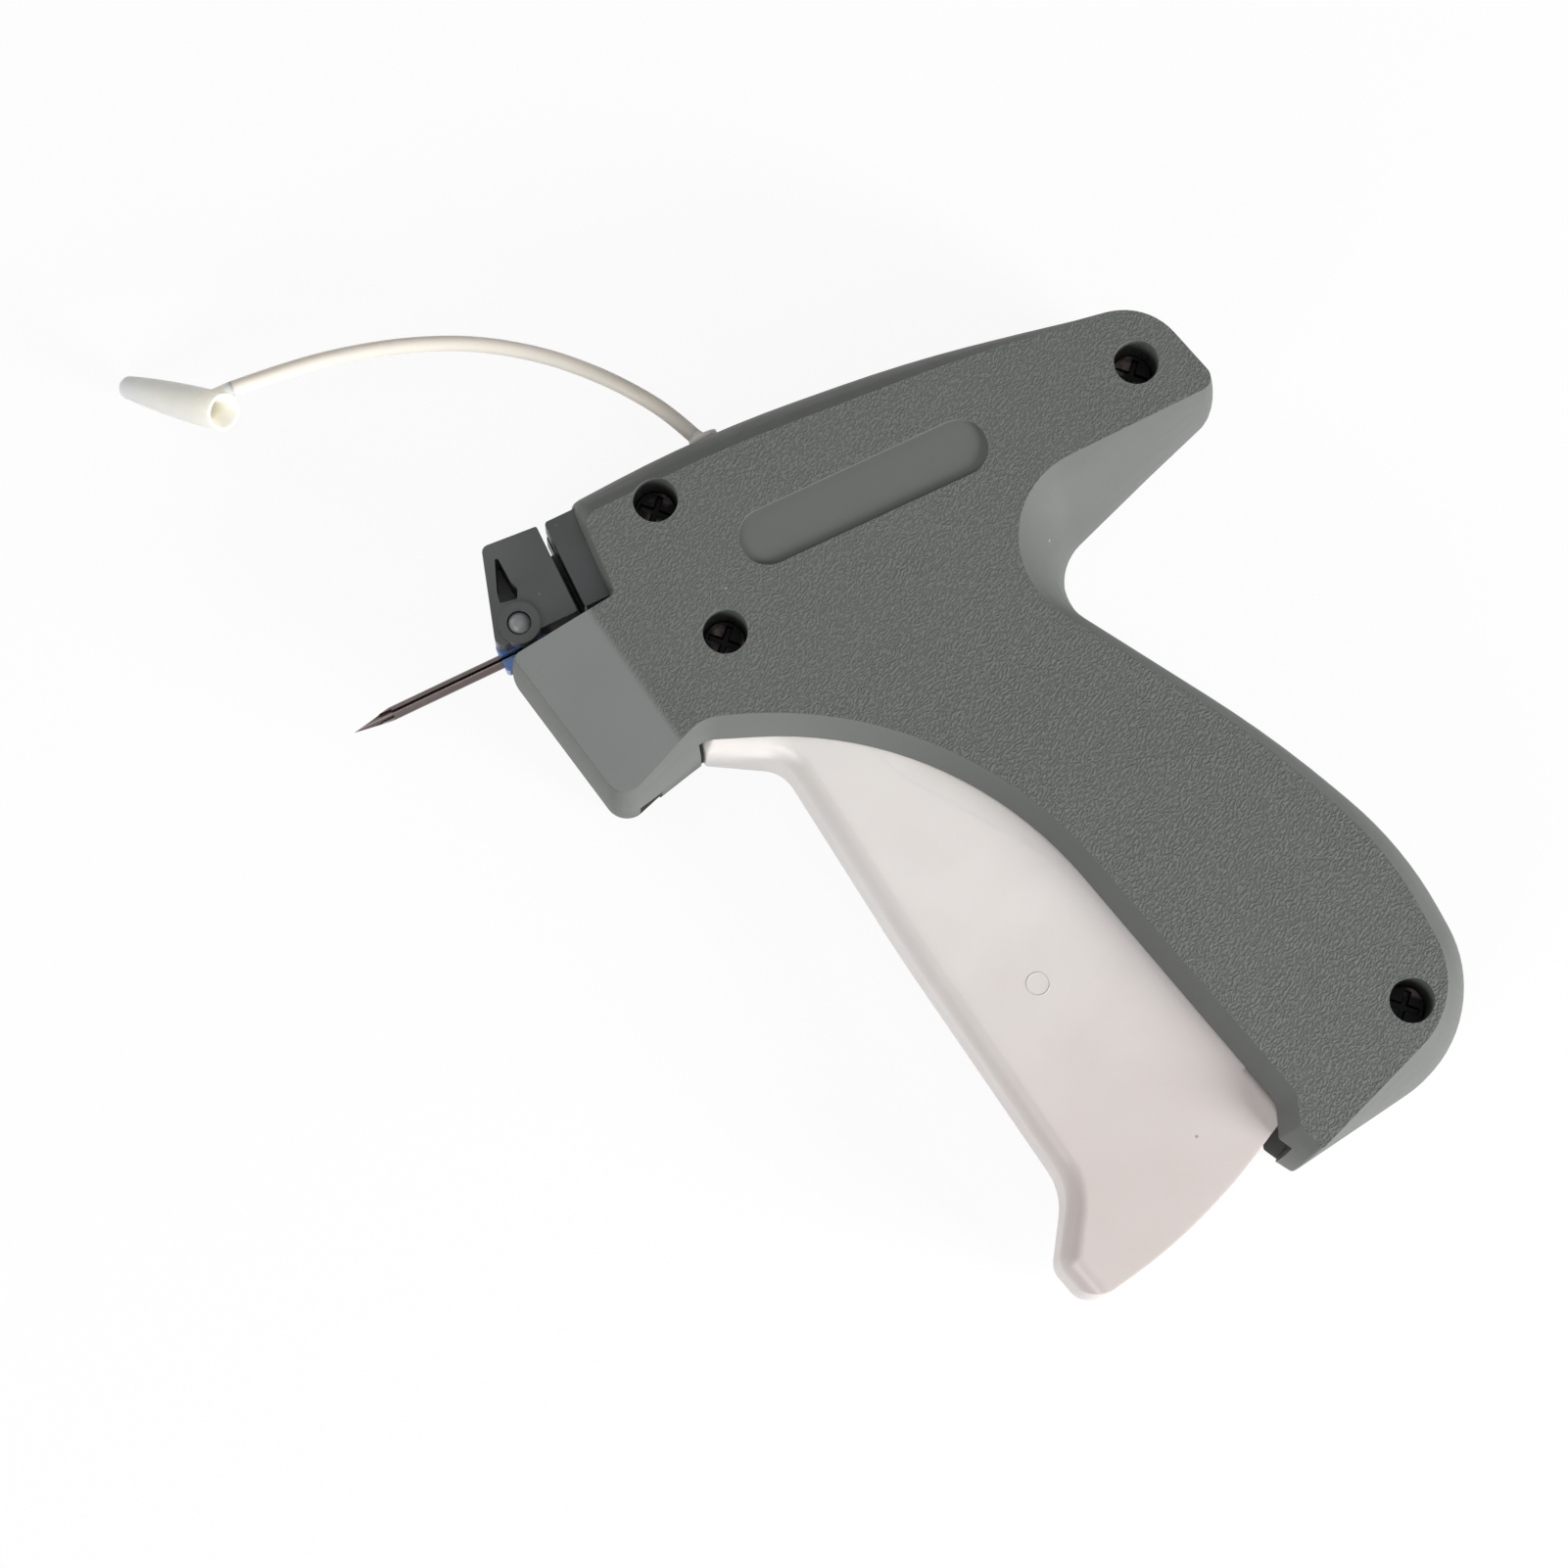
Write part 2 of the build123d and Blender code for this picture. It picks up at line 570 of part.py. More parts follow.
def right_shell():
    """Right half of the housing, plain outside, with the rail's way out under the nose."""
    shell = mirror(bare_half(), about=Plane.XY.offset(SEAM))
    inner_low = THICKNESS - INNER_TOP
    shell += post(WHEEL_PLACE, AXLE_BOSS_RADIUS, inner_low - SEAT, WHEEL_BOTTOM_Z - GAP)
    shell += post(HOLD_POST_PLACE, PAWL_POST_RADIUS * 2, inner_low - SEAT, LEAF_LOW_Z)
    for place in SCREW_PLACES:
        shell -= post(place, SCREW_RADIUS + SEAT, THICKNESS - COUNTERBORE_DEPTH - SCREW_LENGTH - SEAT, SEAM)
    shell -= post(LEVER_PIVOT, PIVOT_PIN_RADIUS + SEAT, SEAM - PIVOT_PIN_LENGTH / 2 - SEAT, SEAM)
    shell -= post(WHEEL_PLACE, AXLE_RADIUS + SEAT, AXLE_LOW_Z - SEAT, SEAM)
    shell -= bar(RAIL_FRONT_X, RAIL_REAR_X, 2 * SEAM_OUTLINE[14][1], SEAM_OUTLINE[14][1] + 3 * WALL,
                 inner_low, SEAM + SEAT)
    return shell - head_seat()


# ---- fixed pieces in the head ----
def bar_channel():
    """Channel that the fasteners' cross bars come down in, ending at the barrel."""
    return bar(BAR_CHANNEL_FRONT_X, BAR_CHANNEL_REAR_X, BARREL_Y - BAR_CHANNEL_WIDTH / 2, 2 * HEAD_TOP_Y,
               SEAM - BAR_CHANNEL_WIDTH / 2, SEAM + BAR_CHANNEL_WIDTH / 2)


def rail_channel():
    """Channel that the fasteners' rail comes down in."""
    return bar(RAIL_FRONT_X, RAIL_REAR_X + SEAT, -HEAD_TOP_Y, 2 * HEAD_TOP_Y,
               HEAD_RIGHT + BACKING_THICKNESS, SEAM)


def front_plate():
    """Front of the feed head: it holds the needle base and forms the slot's front edge."""
    solid = plate(region(PLATE_OUTLINE), HEAD_RIGHT, HEAD_LEFT)
    solid += post(LOCK_PLACE, LOCK_BOSS_RADIUS, HEAD_LEFT - WALL, HEAD_LEFT + LOCK_BOSS_HEIGHT)
    solid += bar(LEG_FRONT_X, LEG_REAR_X, HEAD_BOTTOM_Y - LEG_LENGTH, HEAD_BOTTOM_Y + WALL,
                 HEAD_RIGHT, CUTTER_LOW_Z - 2 * SEAT)
    solid -= plate(region(WINDOW_OUTLINE), HEAD_LEFT - WINDOW_DEPTH, HEAD_LEFT + WALL)
    solid -= bar_channel() + rail_channel()
    solid -= bar(BACKING_FRONT_X - SEAT, SLOT_REAR_X, 0, BACKING_TOP_Y + 2 * SEAT,
                 HEAD_RIGHT - WALL, HEAD_RIGHT + BACKING_THICKNESS + SEAT)
    solid -= bar(2 * BASE_FRONT_X, NEEDLE_REAR_X + SEAT, 0, BARREL_Y + BASE_HEIGHT / 2 + SEAT,
                 SEAM - BASE_RIGHT - SEAT, SEAM + BASE_LEFT + SEAT)
    solid -= bar(CUTTER_FRONT_X - SEAT, RAIL_FRONT_X, CUTTER_LOW_Y - SEAT,
                 CUTTER_LOW_Y + CUTTER_HEIGHT + SEAT, CUTTER_LOW_Z - SEAT, SEAM)
    return solid - post(LOCK_PLACE, LOCK_PIN_RADIUS + RUNNING, 0, THICKNESS) - rod_path()


def feed_block():
    """Rear of the feed head with the plate that closes the slot behind."""
    solid = bar(SLOT_REAR_X, BLOCK_REAR_X, HEAD_BOTTOM_Y, HEAD_TOP_Y, HEAD_RIGHT, HEAD_LEFT)
    solid = chamfer(solid.edges().filter_by(Axis.Z).sort_by(Axis.X)[:2], LEAST_RADIUS)
    solid += bar(BACKING_FRONT_X, SLOT_REAR_X + WALL, HEAD_BOTTOM_Y, BACKING_TOP_Y,
                 HEAD_RIGHT, HEAD_RIGHT + BACKING_THICKNESS)
    return solid - bar_channel() - rod_path()


def needle():
    """Hollow needle with its slot and its ground point."""
    solid = x_rod(NEEDLE_RADIUS, NEEDLE_TIP_X, NEEDLE_REAR_X)
    solid += x_rod(NEEDLE_COLLAR_RADIUS, BASE_FRONT_X + NEEDLE_COLLAR_DEPTH, NEEDLE_REAR_X)
    solid -= x_rod(NEEDLE_BORE, NEEDLE_TIP_X, NEEDLE_REAR_X)
    lance_x = NEEDLE_TIP_X + NEEDLE_LANCE
    solid -= bar(lance_x, NEEDLE_REAR_X, BARREL_Y - NEEDLE_SLOT / 2, BARREL_Y + NEEDLE_SLOT / 2,
                 SEAM, SEAM + 2 * NEEDLE_RADIUS)
    solid -= bar(NEEDLE_TIP_X, lance_x, BARREL_Y - NEEDLE_RADIUS, BARREL_Y + NEEDLE_RADIUS,
                 SEAM + NEEDLE_RADIUS / 4, SEAM + 2 * NEEDLE_RADIUS)
    collar = NEEDLE_COLLAR_RADIUS
    lance = Polyline(
        (NEEDLE_TIP_X, BARREL_Y), (lance_x, BARREL_Y + NEEDLE_RADIUS), (lance_x, BARREL_Y + collar),
        (0, BARREL_Y + collar), (0, BARREL_Y - collar), (lance_x, BARREL_Y - collar),
        (lance_x, BARREL_Y - NEEDLE_RADIUS), close=True)
    solid -= post(LOCK_PLACE, LOCK_PIN_RADIUS + RUNNING, 0, THICKNESS)
    return solid & plate(make_face(lance.edges()), 0, THICKNESS)


def needle_base():
    """Plastic foot of the needle with the notch that the lock pin holds."""
    half = BASE_HEIGHT / 2
    solid = bar(BASE_FRONT_X, NEEDLE_REAR_X, BARREL_Y - half, BARREL_Y + half,
                SEAM - BASE_RIGHT, SEAM + BASE_LEFT)
    solid = chamfer(solid.faces().sort_by(Axis.X)[0].edges(), LEAST_RADIUS)
    solid -= x_rod(NEEDLE_RADIUS + SEAT, 2 * BASE_FRONT_X, 0)
    solid -= x_rod(NEEDLE_COLLAR_RADIUS + SEAT, BASE_FRONT_X + NEEDLE_COLLAR_DEPTH - SEAT, 0)
    solid -= bar(2 * BASE_FRONT_X, 0, BARREL_Y - NEEDLE_SLOT / 2, BARREL_Y + NEEDLE_SLOT / 2,
                 SEAM, THICKNESS)
    return solid - post(LOCK_PLACE, LOCK_PIN_RADIUS + RUNNING, 0, THICKNESS)


def cutter_blade():
    """Blade beside the needle that cuts each fastener off its rail."""
    rear = CUTTER_FRONT_X + CUTTER_LENGTH
    blade = bar(CUTTER_FRONT_X, rear, CUTTER_LOW_Y, CUTTER_LOW_Y + CUTTER_HEIGHT,
                CUTTER_LOW_Z, CUTTER_LOW_Z + CUTTER_THICKNESS)
    edge = blade.edges().filter_by(Axis.Y).group_by(Axis.X)[-1].sort_by(Axis.Z)[0]
    return chamfer(edge, CUTTER_THICKNESS * 0.8) - post(LOCK_PLACE, LOCK_PIN_RADIUS + RUNNING, 0, THICKNESS)


def needle_lock():
    """Lock lever on the right side; its pin crosses the head and shows as a dome on the left."""
    low = HEAD_RIGHT - GAP - LOCK_THICKNESS
    face = link([(LOCK_PLACE, LOCK_BOSS_RADIUS), (LOCK_ARM_TIP, LOCK_ARM_RADIUS)])
    arm = plate(face, low, low + LOCK_THICKNESS)
    arm = chamfer(arm.faces().sort_by(Axis.Z)[0].edges(), LEAST_RADIUS)
    top = HEAD_LEFT + LOCK_BOSS_HEIGHT / 2
    pin = post(LOCK_PLACE, LOCK_PIN_RADIUS, low, top + LOCK_DOME)
    pin = fillet(pin.faces().sort_by(Axis.Z)[-1].edges(), 2 * LOCK_DOME)
    flat = bar(-LOCK_PIN_RADIUS, LOCK_PIN_RADIUS, -2 * LOCK_PIN_RADIUS, -LOCK_FLAT,
               SEAM - BASE_RIGHT - GAP, SEAM + BASE_LEFT + GAP)
    return arm + pin - Pos(*LOCK_PLACE) * Rot(0, 0, LOCK_TURN) * flat


def housing_screws():
    """The four cross-head screws, in one group."""
    seat = THICKNESS - COUNTERBORE_DEPTH
    screws = []
    for place in SCREW_PLACES:
        screw = post(place, SCREW_HEAD_RADIUS, seat, seat + SCREW_HEAD_HEIGHT)
        screw += post(place, SCREW_RADIUS, seat - SCREW_LENGTH, seat)
        top = seat + SCREW_HEAD_HEIGHT
        for turn in (45, 135):
            groove = Box(2 * SCREW_HEAD_RADIUS * 0.8, CROSS_WIDTH, 2 * CROSS_DEPTH)
            screw -= Pos(place[0], place[1], top) * Rot(0, 0, turn) * groove
        screws.append(screw.solid())
    return Compound(children=screws)


# ---- trigger ----
def trigger_blade():
    """Blade with well rounded front edges, cut off along its lower end."""
    toe = TRIGGER_OUTLINE.index(min(TRIGGER_OUTLINE, key=lambda corner: corner[1]))
    low = beyond(TRIGGER_OUTLINE[toe - 1], TRIGGER_OUTLINE[toe], THICKNESS)
    far = (TRIGGER_OUTLINE[toe + 2][0] + THICKNESS, low[1], 0)
    tall = region(TRIGGER_OUTLINE[:toe] + [low, far] + TRIGGER_OUTLINE[toe + 2:])
    blade = plate(tall, TRIGGER_RIGHT, TRIGGER_LEFT)
    rims = blade.edges().filter_by(Plane.XY).filter_by(lambda edge: edge.center().X < TRIGGER_OUTLINE[toe + 1][0])
    blade = fillet(rims.filter_by(lambda edge: edge.center().Y < TRIGGER_OUTLINE[1][1]), TRIGGER_ROUNDING)
    return blade & plate(region(TRIGGER_OUTLINE), TRIGGER_RIGHT, TRIGGER_LEFT)


def drive_horn():
    """Face of the horn inside the trigger that drives the lever."""
    horn_end = pin_path(LEVER_PIVOT, LEVER_SHORT_ARM, LEVER_LOW_ANGLE, LEVER_RATIO)
    reach = LINK_PIN_RADIUS + SLOT_WALL
    web = [(horn_end[0], reach), (horn_end[-1], reach), (HORN_FOOT, SEAT_THICKNESS * 1.4)]
    return link(web)


def lever_pin_path():
    """Where the pin of the lever pivot passes through the trigger's cheeks."""
    clear = PIVOT_PIN_RADIUS + 2 * GAP
    past = TRIGGER_SWING / CAM_POINTS
    return track([turned(LEVER_PIVOT, past - (TRIGGER_SWING + 2 * past) * share) for share in steps()], clear)


def trigger_pocket():
    """Hollow of the trigger between its cheeks, open towards the grip."""
    front = inset(list(TRIGGER_OUTLINE)[::-1], TRIGGER_WALL)[::-1]
    loop = front[1:9] + [(FAR, -FAR / 2, WALL), (FAR, 0.0, WALL)]
    hollow = region(loop) - Pos(*TRIGGER_PIVOT) * Circle(TRIGGER_HUB_RADIUS)
    return plate(hollow, TRIGGER_RIGHT + TRIGGER_WALL, TRIGGER_LEFT - TRIGGER_WALL)


def trigger():
    """Hollow moulded trigger with its hub, drive horn, feed horn and spring seat."""
    solid = trigger_blade() + post(TRIGGER_PIVOT, TRIGGER_HUB_RADIUS, TRIGGER_RIGHT, TRIGGER_LEFT)
    solid -= trigger_pocket()
    solid -= plate(lever_pin_path(), 0, THICKNESS)
    reach = SLIDER_GAP + HORN_THICKNESS
    horn = plate(drive_horn(), SEAM - reach, SEAM + reach)
    solid += horn - plate(drive_horn(), SEAM - SLIDER_GAP, SEAM + SLIDER_GAP)
    seat = spring_frame() * Box(TRIGGER_WIDTH, SEAT_WIDTH, SEAT_THICKNESS, align=STAND)
    spigot = spring_frame() * Cylinder(SPIGOT_RADIUS, SEAT_THICKNESS + SPIGOT_LENGTH, align=STAND)
    solid += mirror(seat, about=spring_frame()) + spigot
    solid += feed_horn()
    cam = track(pin_path(LEVER_PIVOT, LEVER_SHORT_ARM, LEVER_LOW_ANGLE, LEVER_RATIO), LINK_PIN_RADIUS + RUNNING)
    solid -= plate(cam, 0, THICKNESS)
    return solid - post(TRIGGER_PIVOT, BOSS_RADIUS + RUNNING, 0, THICKNESS)


def rocker_rest_angle():
    """Direction from the feed wheel to the rocker's pin at rest."""
    towards = degrees(atan2(TRIGGER_PIVOT[1] - WHEEL_PLACE[1], TRIGGER_PIVOT[0] - WHEEL_PLACE[0]))
    return towards - ROCKER_SWING / 2


def feed_horn():
    """Slotted horn on the hub that rocks the feed rocker."""
    path = pin_path(WHEEL_PLACE, ROCKER_PIN_ARM, rocker_rest_angle(), ROCKER_RATIO)
    reach = ROCKER_PIN_RADIUS + FEED_HORN_WALL
    face = link([(path[0], reach), (path[-1], reach), (TRIGGER_PIVOT, TRIGGER_HUB_RADIUS)])
    face -= track(path, ROCKER_PIN_RADIUS + RUNNING)
    return plate(face, HORN_BOTTOM_Z, HORN_BOTTOM_Z + FEED_HORN_THICKNESS)


# ---- drive lever and slider ----
def lever_low_rest():
    """Place of the pin on the lever's short arm at rest."""
    return polar(LEVER_PIVOT, LEVER_SHORT_ARM, LEVER_LOW_ANGLE)


def drive_lever():
    """Two-armed lever with pockets in its long arm."""
    low, high = SEAM - LEVER_THICKNESS / 2, SEAM + LEVER_THICKNESS / 2
    hub, end = LEVER_HUB_RADIUS, LEVER_END_RADIUS
    face = link([(LEVER_PIVOT, hub), (LEVER_TOP_REST, end)]) + link([(LEVER_PIVOT, hub), (lever_low_rest(), end)])
    solid = plate(face, low, high) + cross_pin(LEVER_PIVOT, LEVER_COLLAR_RADIUS, 2 * LEVER_HUB_HALF)
    up = degrees(atan2(LEVER_TOP_REST[1] - LEVER_PIVOT[1], LEVER_TOP_REST[0] - LEVER_PIVOT[0]))
    near, far = (polar(LEVER_PIVOT, LEVER_ARM * share, up) for share in LEVER_POCKET_SPAN)
    pocket = link([(far, end - LEVER_POCKET_RIM), (near, hub - LEVER_POCKET_RIM)])
    solid -= plate(pocket, high - LEVER_POCKET, high) + plate(pocket, low, low + LEVER_POCKET)
    solid -= post(LEVER_PIVOT, PIVOT_PIN_RADIUS + RUNNING, 0, THICKNESS)
    for place in (LEVER_TOP_REST, lever_low_rest()):
        solid -= post(place, LINK_PIN_RADIUS + SEAT, 0, THICKNESS)
    return solid


def cross_pin(place, radius, length):
    """Straight pin centred on the parting plane."""
    return post(place, radius, SEAM - length / 2, SEAM + length / 2)


def slider_slot():
    """Slot of the slider, open at the top, that keeps its travel in step with the lever's angle."""
    path = []
    for share in steps():
        swing = LEVER_SWING * share - LEVER_SWING / 2
        x = LEVER_PIVOT[0] - LEVER_ARM * sin(radians(swing))
        y = LEVER_PIVOT[1] + LEVER_ARM * cos(radians(swing))
        path.append((x + TRAVEL * share, y))
    path.append((path[CAM_POINTS // 2][0], SLIDER_TOP_Y))
    lower, upper = path[:CAM_POINTS], path[CAM_POINTS // 2::CAM_POINTS // 2 + 1]
    face = track(lower, LINK_PIN_RADIUS + RUNNING) + track(upper, LINK_PIN_RADIUS + RUNNING)
    return plate(face, 0, THICKNESS)


def slider():
    """Carriage that the lever pushes along the barrel; it carries the push rod."""
    x0, x1 = LEVER_TOP_REST[0] - SLIDER_LENGTH / 2, LEVER_TOP_REST[0] + SLIDER_LENGTH / 2
    side = Polyline(
        (x0, SLIDER_WING_LOW_Y), (x0 + SLIDER_WALL, SLIDER_BOTTOM_Y + SLIDER_WALL),
        (x0 + SLIDER_FRONT, SLIDER_BOTTOM_Y), (x1, SLIDER_BOTTOM_Y), (x1, SLIDER_TOP_Y),
        (x0 + SLIDER_FRONT, SLIDER_TOP_Y), (x0, SLIDER_FRONT_TOP_Y), close=True)
    half = SLIDER_GAP + SLIDER_WALL
    solid = plate(make_face(side.edges()), SEAM - half, SEAM + half)
    wing = SLIDER_WING_WIDTH / 2
    solid += bar(x0, x1, SLIDER_WING_LOW_Y, SLIDER_WING_HIGH_Y, SEAM - wing, SEAM + wing)
    solid -= bar(x0 + SLIDER_FRONT, x1 - SLIDER_WALL, 0, THICKNESS, SEAM - SLIDER_GAP, SEAM + SLIDER_GAP)
    return solid - slider_slot() - x_rod(ROD_RADIUS + SEAT, 0, x0 + SLIDER_FRONT)


def push_rod():
    """Steel rod that drives the fastener's cross bar through the needle."""
    return x_rod(ROD_RADIUS, ROD_END_X, LEVER_TOP_REST[0] - SLIDER_LENGTH / 2 + SLIDER_FRONT)


def return_spring():
    """Compression spring between the trigger and the back of the grip."""
    free = SPRING_LENGTH - SPRING_WIRE
    path = Helix(free / SPRING_TURNS, free, SPRING_RADIUS)
    start = Plane(path @ 0, z_dir=path % 0)
    wire = sweep(start * RegularPolygon(SPRING_WIRE / 2, SPRING_WIRE_POINTS), path, is_frenet=True)
    return spring_frame() * Pos(0, 0, SPRING_WIRE / 2) * wire


# ---- fastener feed ----
def feed_wheel():
    """Toothed wheel that pulls the rail down."""
    pitch = 360 / WHEEL_TEETH
    points = []
    for tooth in range(WHEEL_TEETH):
        for turn, radius in ((-0.32, WHEEL_ROOT_RADIUS), (-0.1, WHEEL_TIP_RADIUS), (0.1, WHEEL_TIP_RADIUS),
                             (0.32, WHEEL_ROOT_RADIUS)):
            points.append(polar(WHEEL_PLACE, radius, (tooth + turn) * pitch))
    face = make_face(Polyline(*points, close=True).edges())
    solid = plate(face, WHEEL_BOTTOM_Z, WHEEL_BOTTOM_Z + WHEEL_THICKNESS)
    return solid - post(WHEEL_PLACE, AXLE_RADIUS + RUNNING, 0, THICKNESS)


def feed_rocker():
    """Rocker on the wheel's axle, with the post that carries the feed pawl."""
    pin_place = polar(WHEEL_PLACE, ROCKER_PIN_ARM, rocker_rest_angle())
    post_place = polar(WHEEL_PLACE, PAWL_POST_REACH, PAWL_POST_ANGLE)
    hub = (WHEEL_PLACE, ROCKER_HUB_RADIUS)
    face = link([hub, (pin_place, ROCKER_END_RADIUS)]) + link([hub, (post_place, ROCKER_END_RADIUS)])
    solid = plate(face, ROCKER_BOTTOM_Z, ROCKER_BOTTOM_Z + ROCKER_THICKNESS)
    solid += post(post_place, PAWL_POST_RADIUS, WHEEL_BOTTOM_Z, ROCKER_BOTTOM_Z)
    solid -= post(WHEEL_PLACE, AXLE_RADIUS + RUNNING, 0, THICKNESS)
    return solid - post(pin_place, ROCKER_PIN_RADIUS + SEAT, 0, THICKNESS)


def rocker_pin():
    """Pin of the rocker in the trigger's feed horn."""
    place = polar(WHEEL_PLACE, ROCKER_PIN_ARM, rocker_rest_angle())
    return post(place, ROCKER_PIN_RADIUS, ROCKER_BOTTOM_Z, HORN_BOTTOM_Z + FEED_HORN_THICKNESS)


def leaf(start, knee, tip):
    """Bent spring leaf through three points, as deep as the wheel."""
    face = ribbon([start, knee, tip], PAWL_THICKNESS / 2)
    return plate(face, LEAF_LOW_Z, LEAF_HIGH_Z)


def feed_pawl():
    """Leaf pawl that turns the wheel one tooth on the return stroke."""
    post_place = polar(WHEEL_PLACE, PAWL_POST_REACH, PAWL_POST_ANGLE)
    reach = PAWL_POST_RADIUS + PAWL_THICKNESS / 2 + SEAT
    start = polar(post_place, reach, PAWL_POST_ANGLE)
    knee = polar(WHEEL_PLACE, PAWL_POST_REACH + reach / 2, (PAWL_POST_ANGLE + PAWL_ANGLE) / 2)
    return leaf(start, knee, polar(WHEEL_PLACE, WHEEL_ROOT_RADIUS + PAWL_THICKNESS, PAWL_ANGLE))


def holding_pawl():
    """Leaf pawl on the right shell that keeps the wheel from running back."""
    tip = polar(WHEEL_PLACE, WHEEL_ROOT_RADIUS + PAWL_THICKNESS, HOLD_PAWL_ANGLE)
    knee = polar(WHEEL_PLACE, WHEEL_TIP_RADIUS + 3 * PAWL_THICKNESS, HOLD_PAWL_ANGLE + 10)
    return leaf(HOLD_POST_PLACE, knee, tip)


# ---- needle cap on its strap ----
def tether_anchor():
    """Anchor of the strap: head inside the housing, neck in its hole and collar outside."""
    head_y = ANCHOR_COLLAR_LOW_Y - 2 * WALL
    up = Plane((ANCHOR_X, head_y, SEAM), z_dir=(0, 1, 0))
    solid = up * Pos(0, 0, -ANCHOR_HEAD_HEIGHT) * Cylinder(ANCHOR_HEAD_RADIUS, ANCHOR_HEAD_HEIGHT, align=STAND)
    solid += up * Cylinder(ANCHOR_HOLE_RADIUS - SEAT, 2 * WALL, align=STAND)
    solid += up * Pos(0, 0, 2 * WALL) * Cylinder(ANCHOR_COLLAR_RADIUS, ANCHOR_COLLAR_HEIGHT, align=STAND)
    end = Plane(STRAP_ROUTE[0], z_dir=Vector(STRAP_ROUTE[1]) - Vector(STRAP_ROUTE[0]))
    depth = STRAP_ROUTE[0][1] - ANCHOR_COLLAR_LOW_Y + ANCHOR_COLLAR_HEIGHT
    root = end * Pos(0, 0, -depth) * Cone(ANCHOR_ROOT_RADIUS, STRAP_DIAMETER / 2, depth, align=STAND)
    return solid + (root & bar(-FAR, FAR, ANCHOR_COLLAR_LOW_Y, FAR, 0, THICKNESS))


def strap_radii():
    """Radius of the arc at each inner point of the strap's route."""
    radii = []
    for before, here, after in zip(STRAP_ROUTE, STRAP_ROUTE[1:], STRAP_ROUTE[2:]):
        run_in, run_out = Vector(here) - Vector(before), Vector(after) - Vector(here)
        half_turn = radians(run_in.get_angle(run_out)) / 2
        radii.append(STRAP_FILL * min(run_in.length, run_out.length) / tan(half_turn))
    return radii


def tether_strap():
    """Round strap of soft plastic, bowed up by its own stiffness."""
    path = FilletPolyline(*STRAP_ROUTE, radius=strap_radii())
    start = Plane(path @ 0, z_dir=path % 0)
    return sweep(start * RegularPolygon(STRAP_DIAMETER / 2, STRAP_SECTION_POINTS), path)


def cap_plane():
    """Plane at the cap's closed end, its Z towards the open end."""
    return Plane(CAP_CLOSED_END, z_dir=Vector(CAP_OPEN_END) - Vector(CAP_CLOSED_END))


def needle_cap():
    """Tapered cap with a funnel, a blind bore and the root of the strap in its side."""
    length = (Vector(CAP_OPEN_END) - Vector(CAP_CLOSED_END)).length
    low, middle, high = (CAP_TIP_RADIUS, 0), (CAP_MIDDLE_RADIUS, length / 2), (CAP_OPEN_RADIUS, length)
    side = ThreePointArc(low, middle, high)
    ends = Polyline(high, (0, length), (0, -CAP_TIP_LENGTH), (CAP_TIP_RADIUS, -CAP_TIP_LENGTH), low)
    body = revolve(Plane.XZ * make_face([*side.edges(), *ends.edges()]), Axis.Z)
    body = fillet(body.edges().sort_by(Axis.Z)[0], CAP_TIP_ROUNDING)
    along = Vector(STRAP_ROUTE[-1]) - Vector(STRAP_ROUTE[-2])
    root = Plane(STRAP_ROUTE[-1], z_dir=along) * Cone(
        STRAP_DIAMETER / 2, CAP_LUG_RADIUS, CAP_LUG_LENGTH, align=STAND)
    funnel = Pos(0, 0, length - CAP_FUNNEL) * Cone(CAP_BORE, CAP_MOUTH_RADIUS, CAP_FUNNEL, align=STAND)
    bore = Cone(CAP_BORE_END, CAP_BORE, length - CAP_FUNNEL, align=STAND)
    return cap_plane() * body + root - cap_plane() * (funnel + bore)


def parts():
    """Every sub-part by name."""
    return {
        "left_shell": left_shell(),
        "right_shell": right_shell(),
        "front_plate": front_plate(),
        "feed_block": feed_block(),
        "needle": needle(),
        "needle_base": needle_base(),
        "cutter_blade": cutter_blade(),
        "needle_lock": needle_lock(),
        "housing_screws": housing_screws(),
        "trigger": trigger(),
        "drive_lever": drive_lever(),
        "lever_pivot_pin": cross_pin(LEVER_PIVOT, PIVOT_PIN_RADIUS, PIVOT_PIN_LENGTH),
        "lever_link_pin": cross_pin(lever_low_rest(), LINK_PIN_RADIUS, LINK_PIN_LENGTH),
        "slider_drive_pin": cross_pin(LEVER_TOP_REST, LINK_PIN_RADIUS, 2 * (SLIDER_GAP + SLIDER_WALL)),
        "slider": slider(),
        "push_rod": push_rod(),
        "return_spring": return_spring(),
        "feed_wheel": feed_wheel(),
        "feed_wheel_axle": post(WHEEL_PLACE, AXLE_RADIUS, AXLE_LOW_Z, AXLE_HIGH_Z),
        "feed_rocker": feed_rocker(),
        "rocker_pin": rocker_pin(),
        "feed_pawl": feed_pawl(),
        "holding_pawl": holding_pawl(),
        "tether_anchor": tether_anchor(),
        "tether_strap": tether_strap(),
        "needle_cap": needle_cap(),
    }


if __name__ == "__main__":
    os.makedirs("parts", exist_ok=True)
    print("strap arc radii", [round(r, 1) for r in strap_radii()])
    for name, shape in parts().items():
        export_step(shape, f"parts/{name}.step")
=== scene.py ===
"""Looks of a hand-held garment tag attacher.

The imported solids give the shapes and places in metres. This script smooths their
surfaces, draws the strap and the spring anew, adds the trigger's square edges and
the ring of its ejector pin, gives each piece its finish and sets up the floor, the
lamps and the camera.
"""

from __future__ import annotations

import json
import logging
import math
from dataclasses import dataclass
from enum import Enum
from typing import Any, Mapping, Sequence

import bmesh
import bpy
import numpy as np
from mathutils import Matrix, Vector

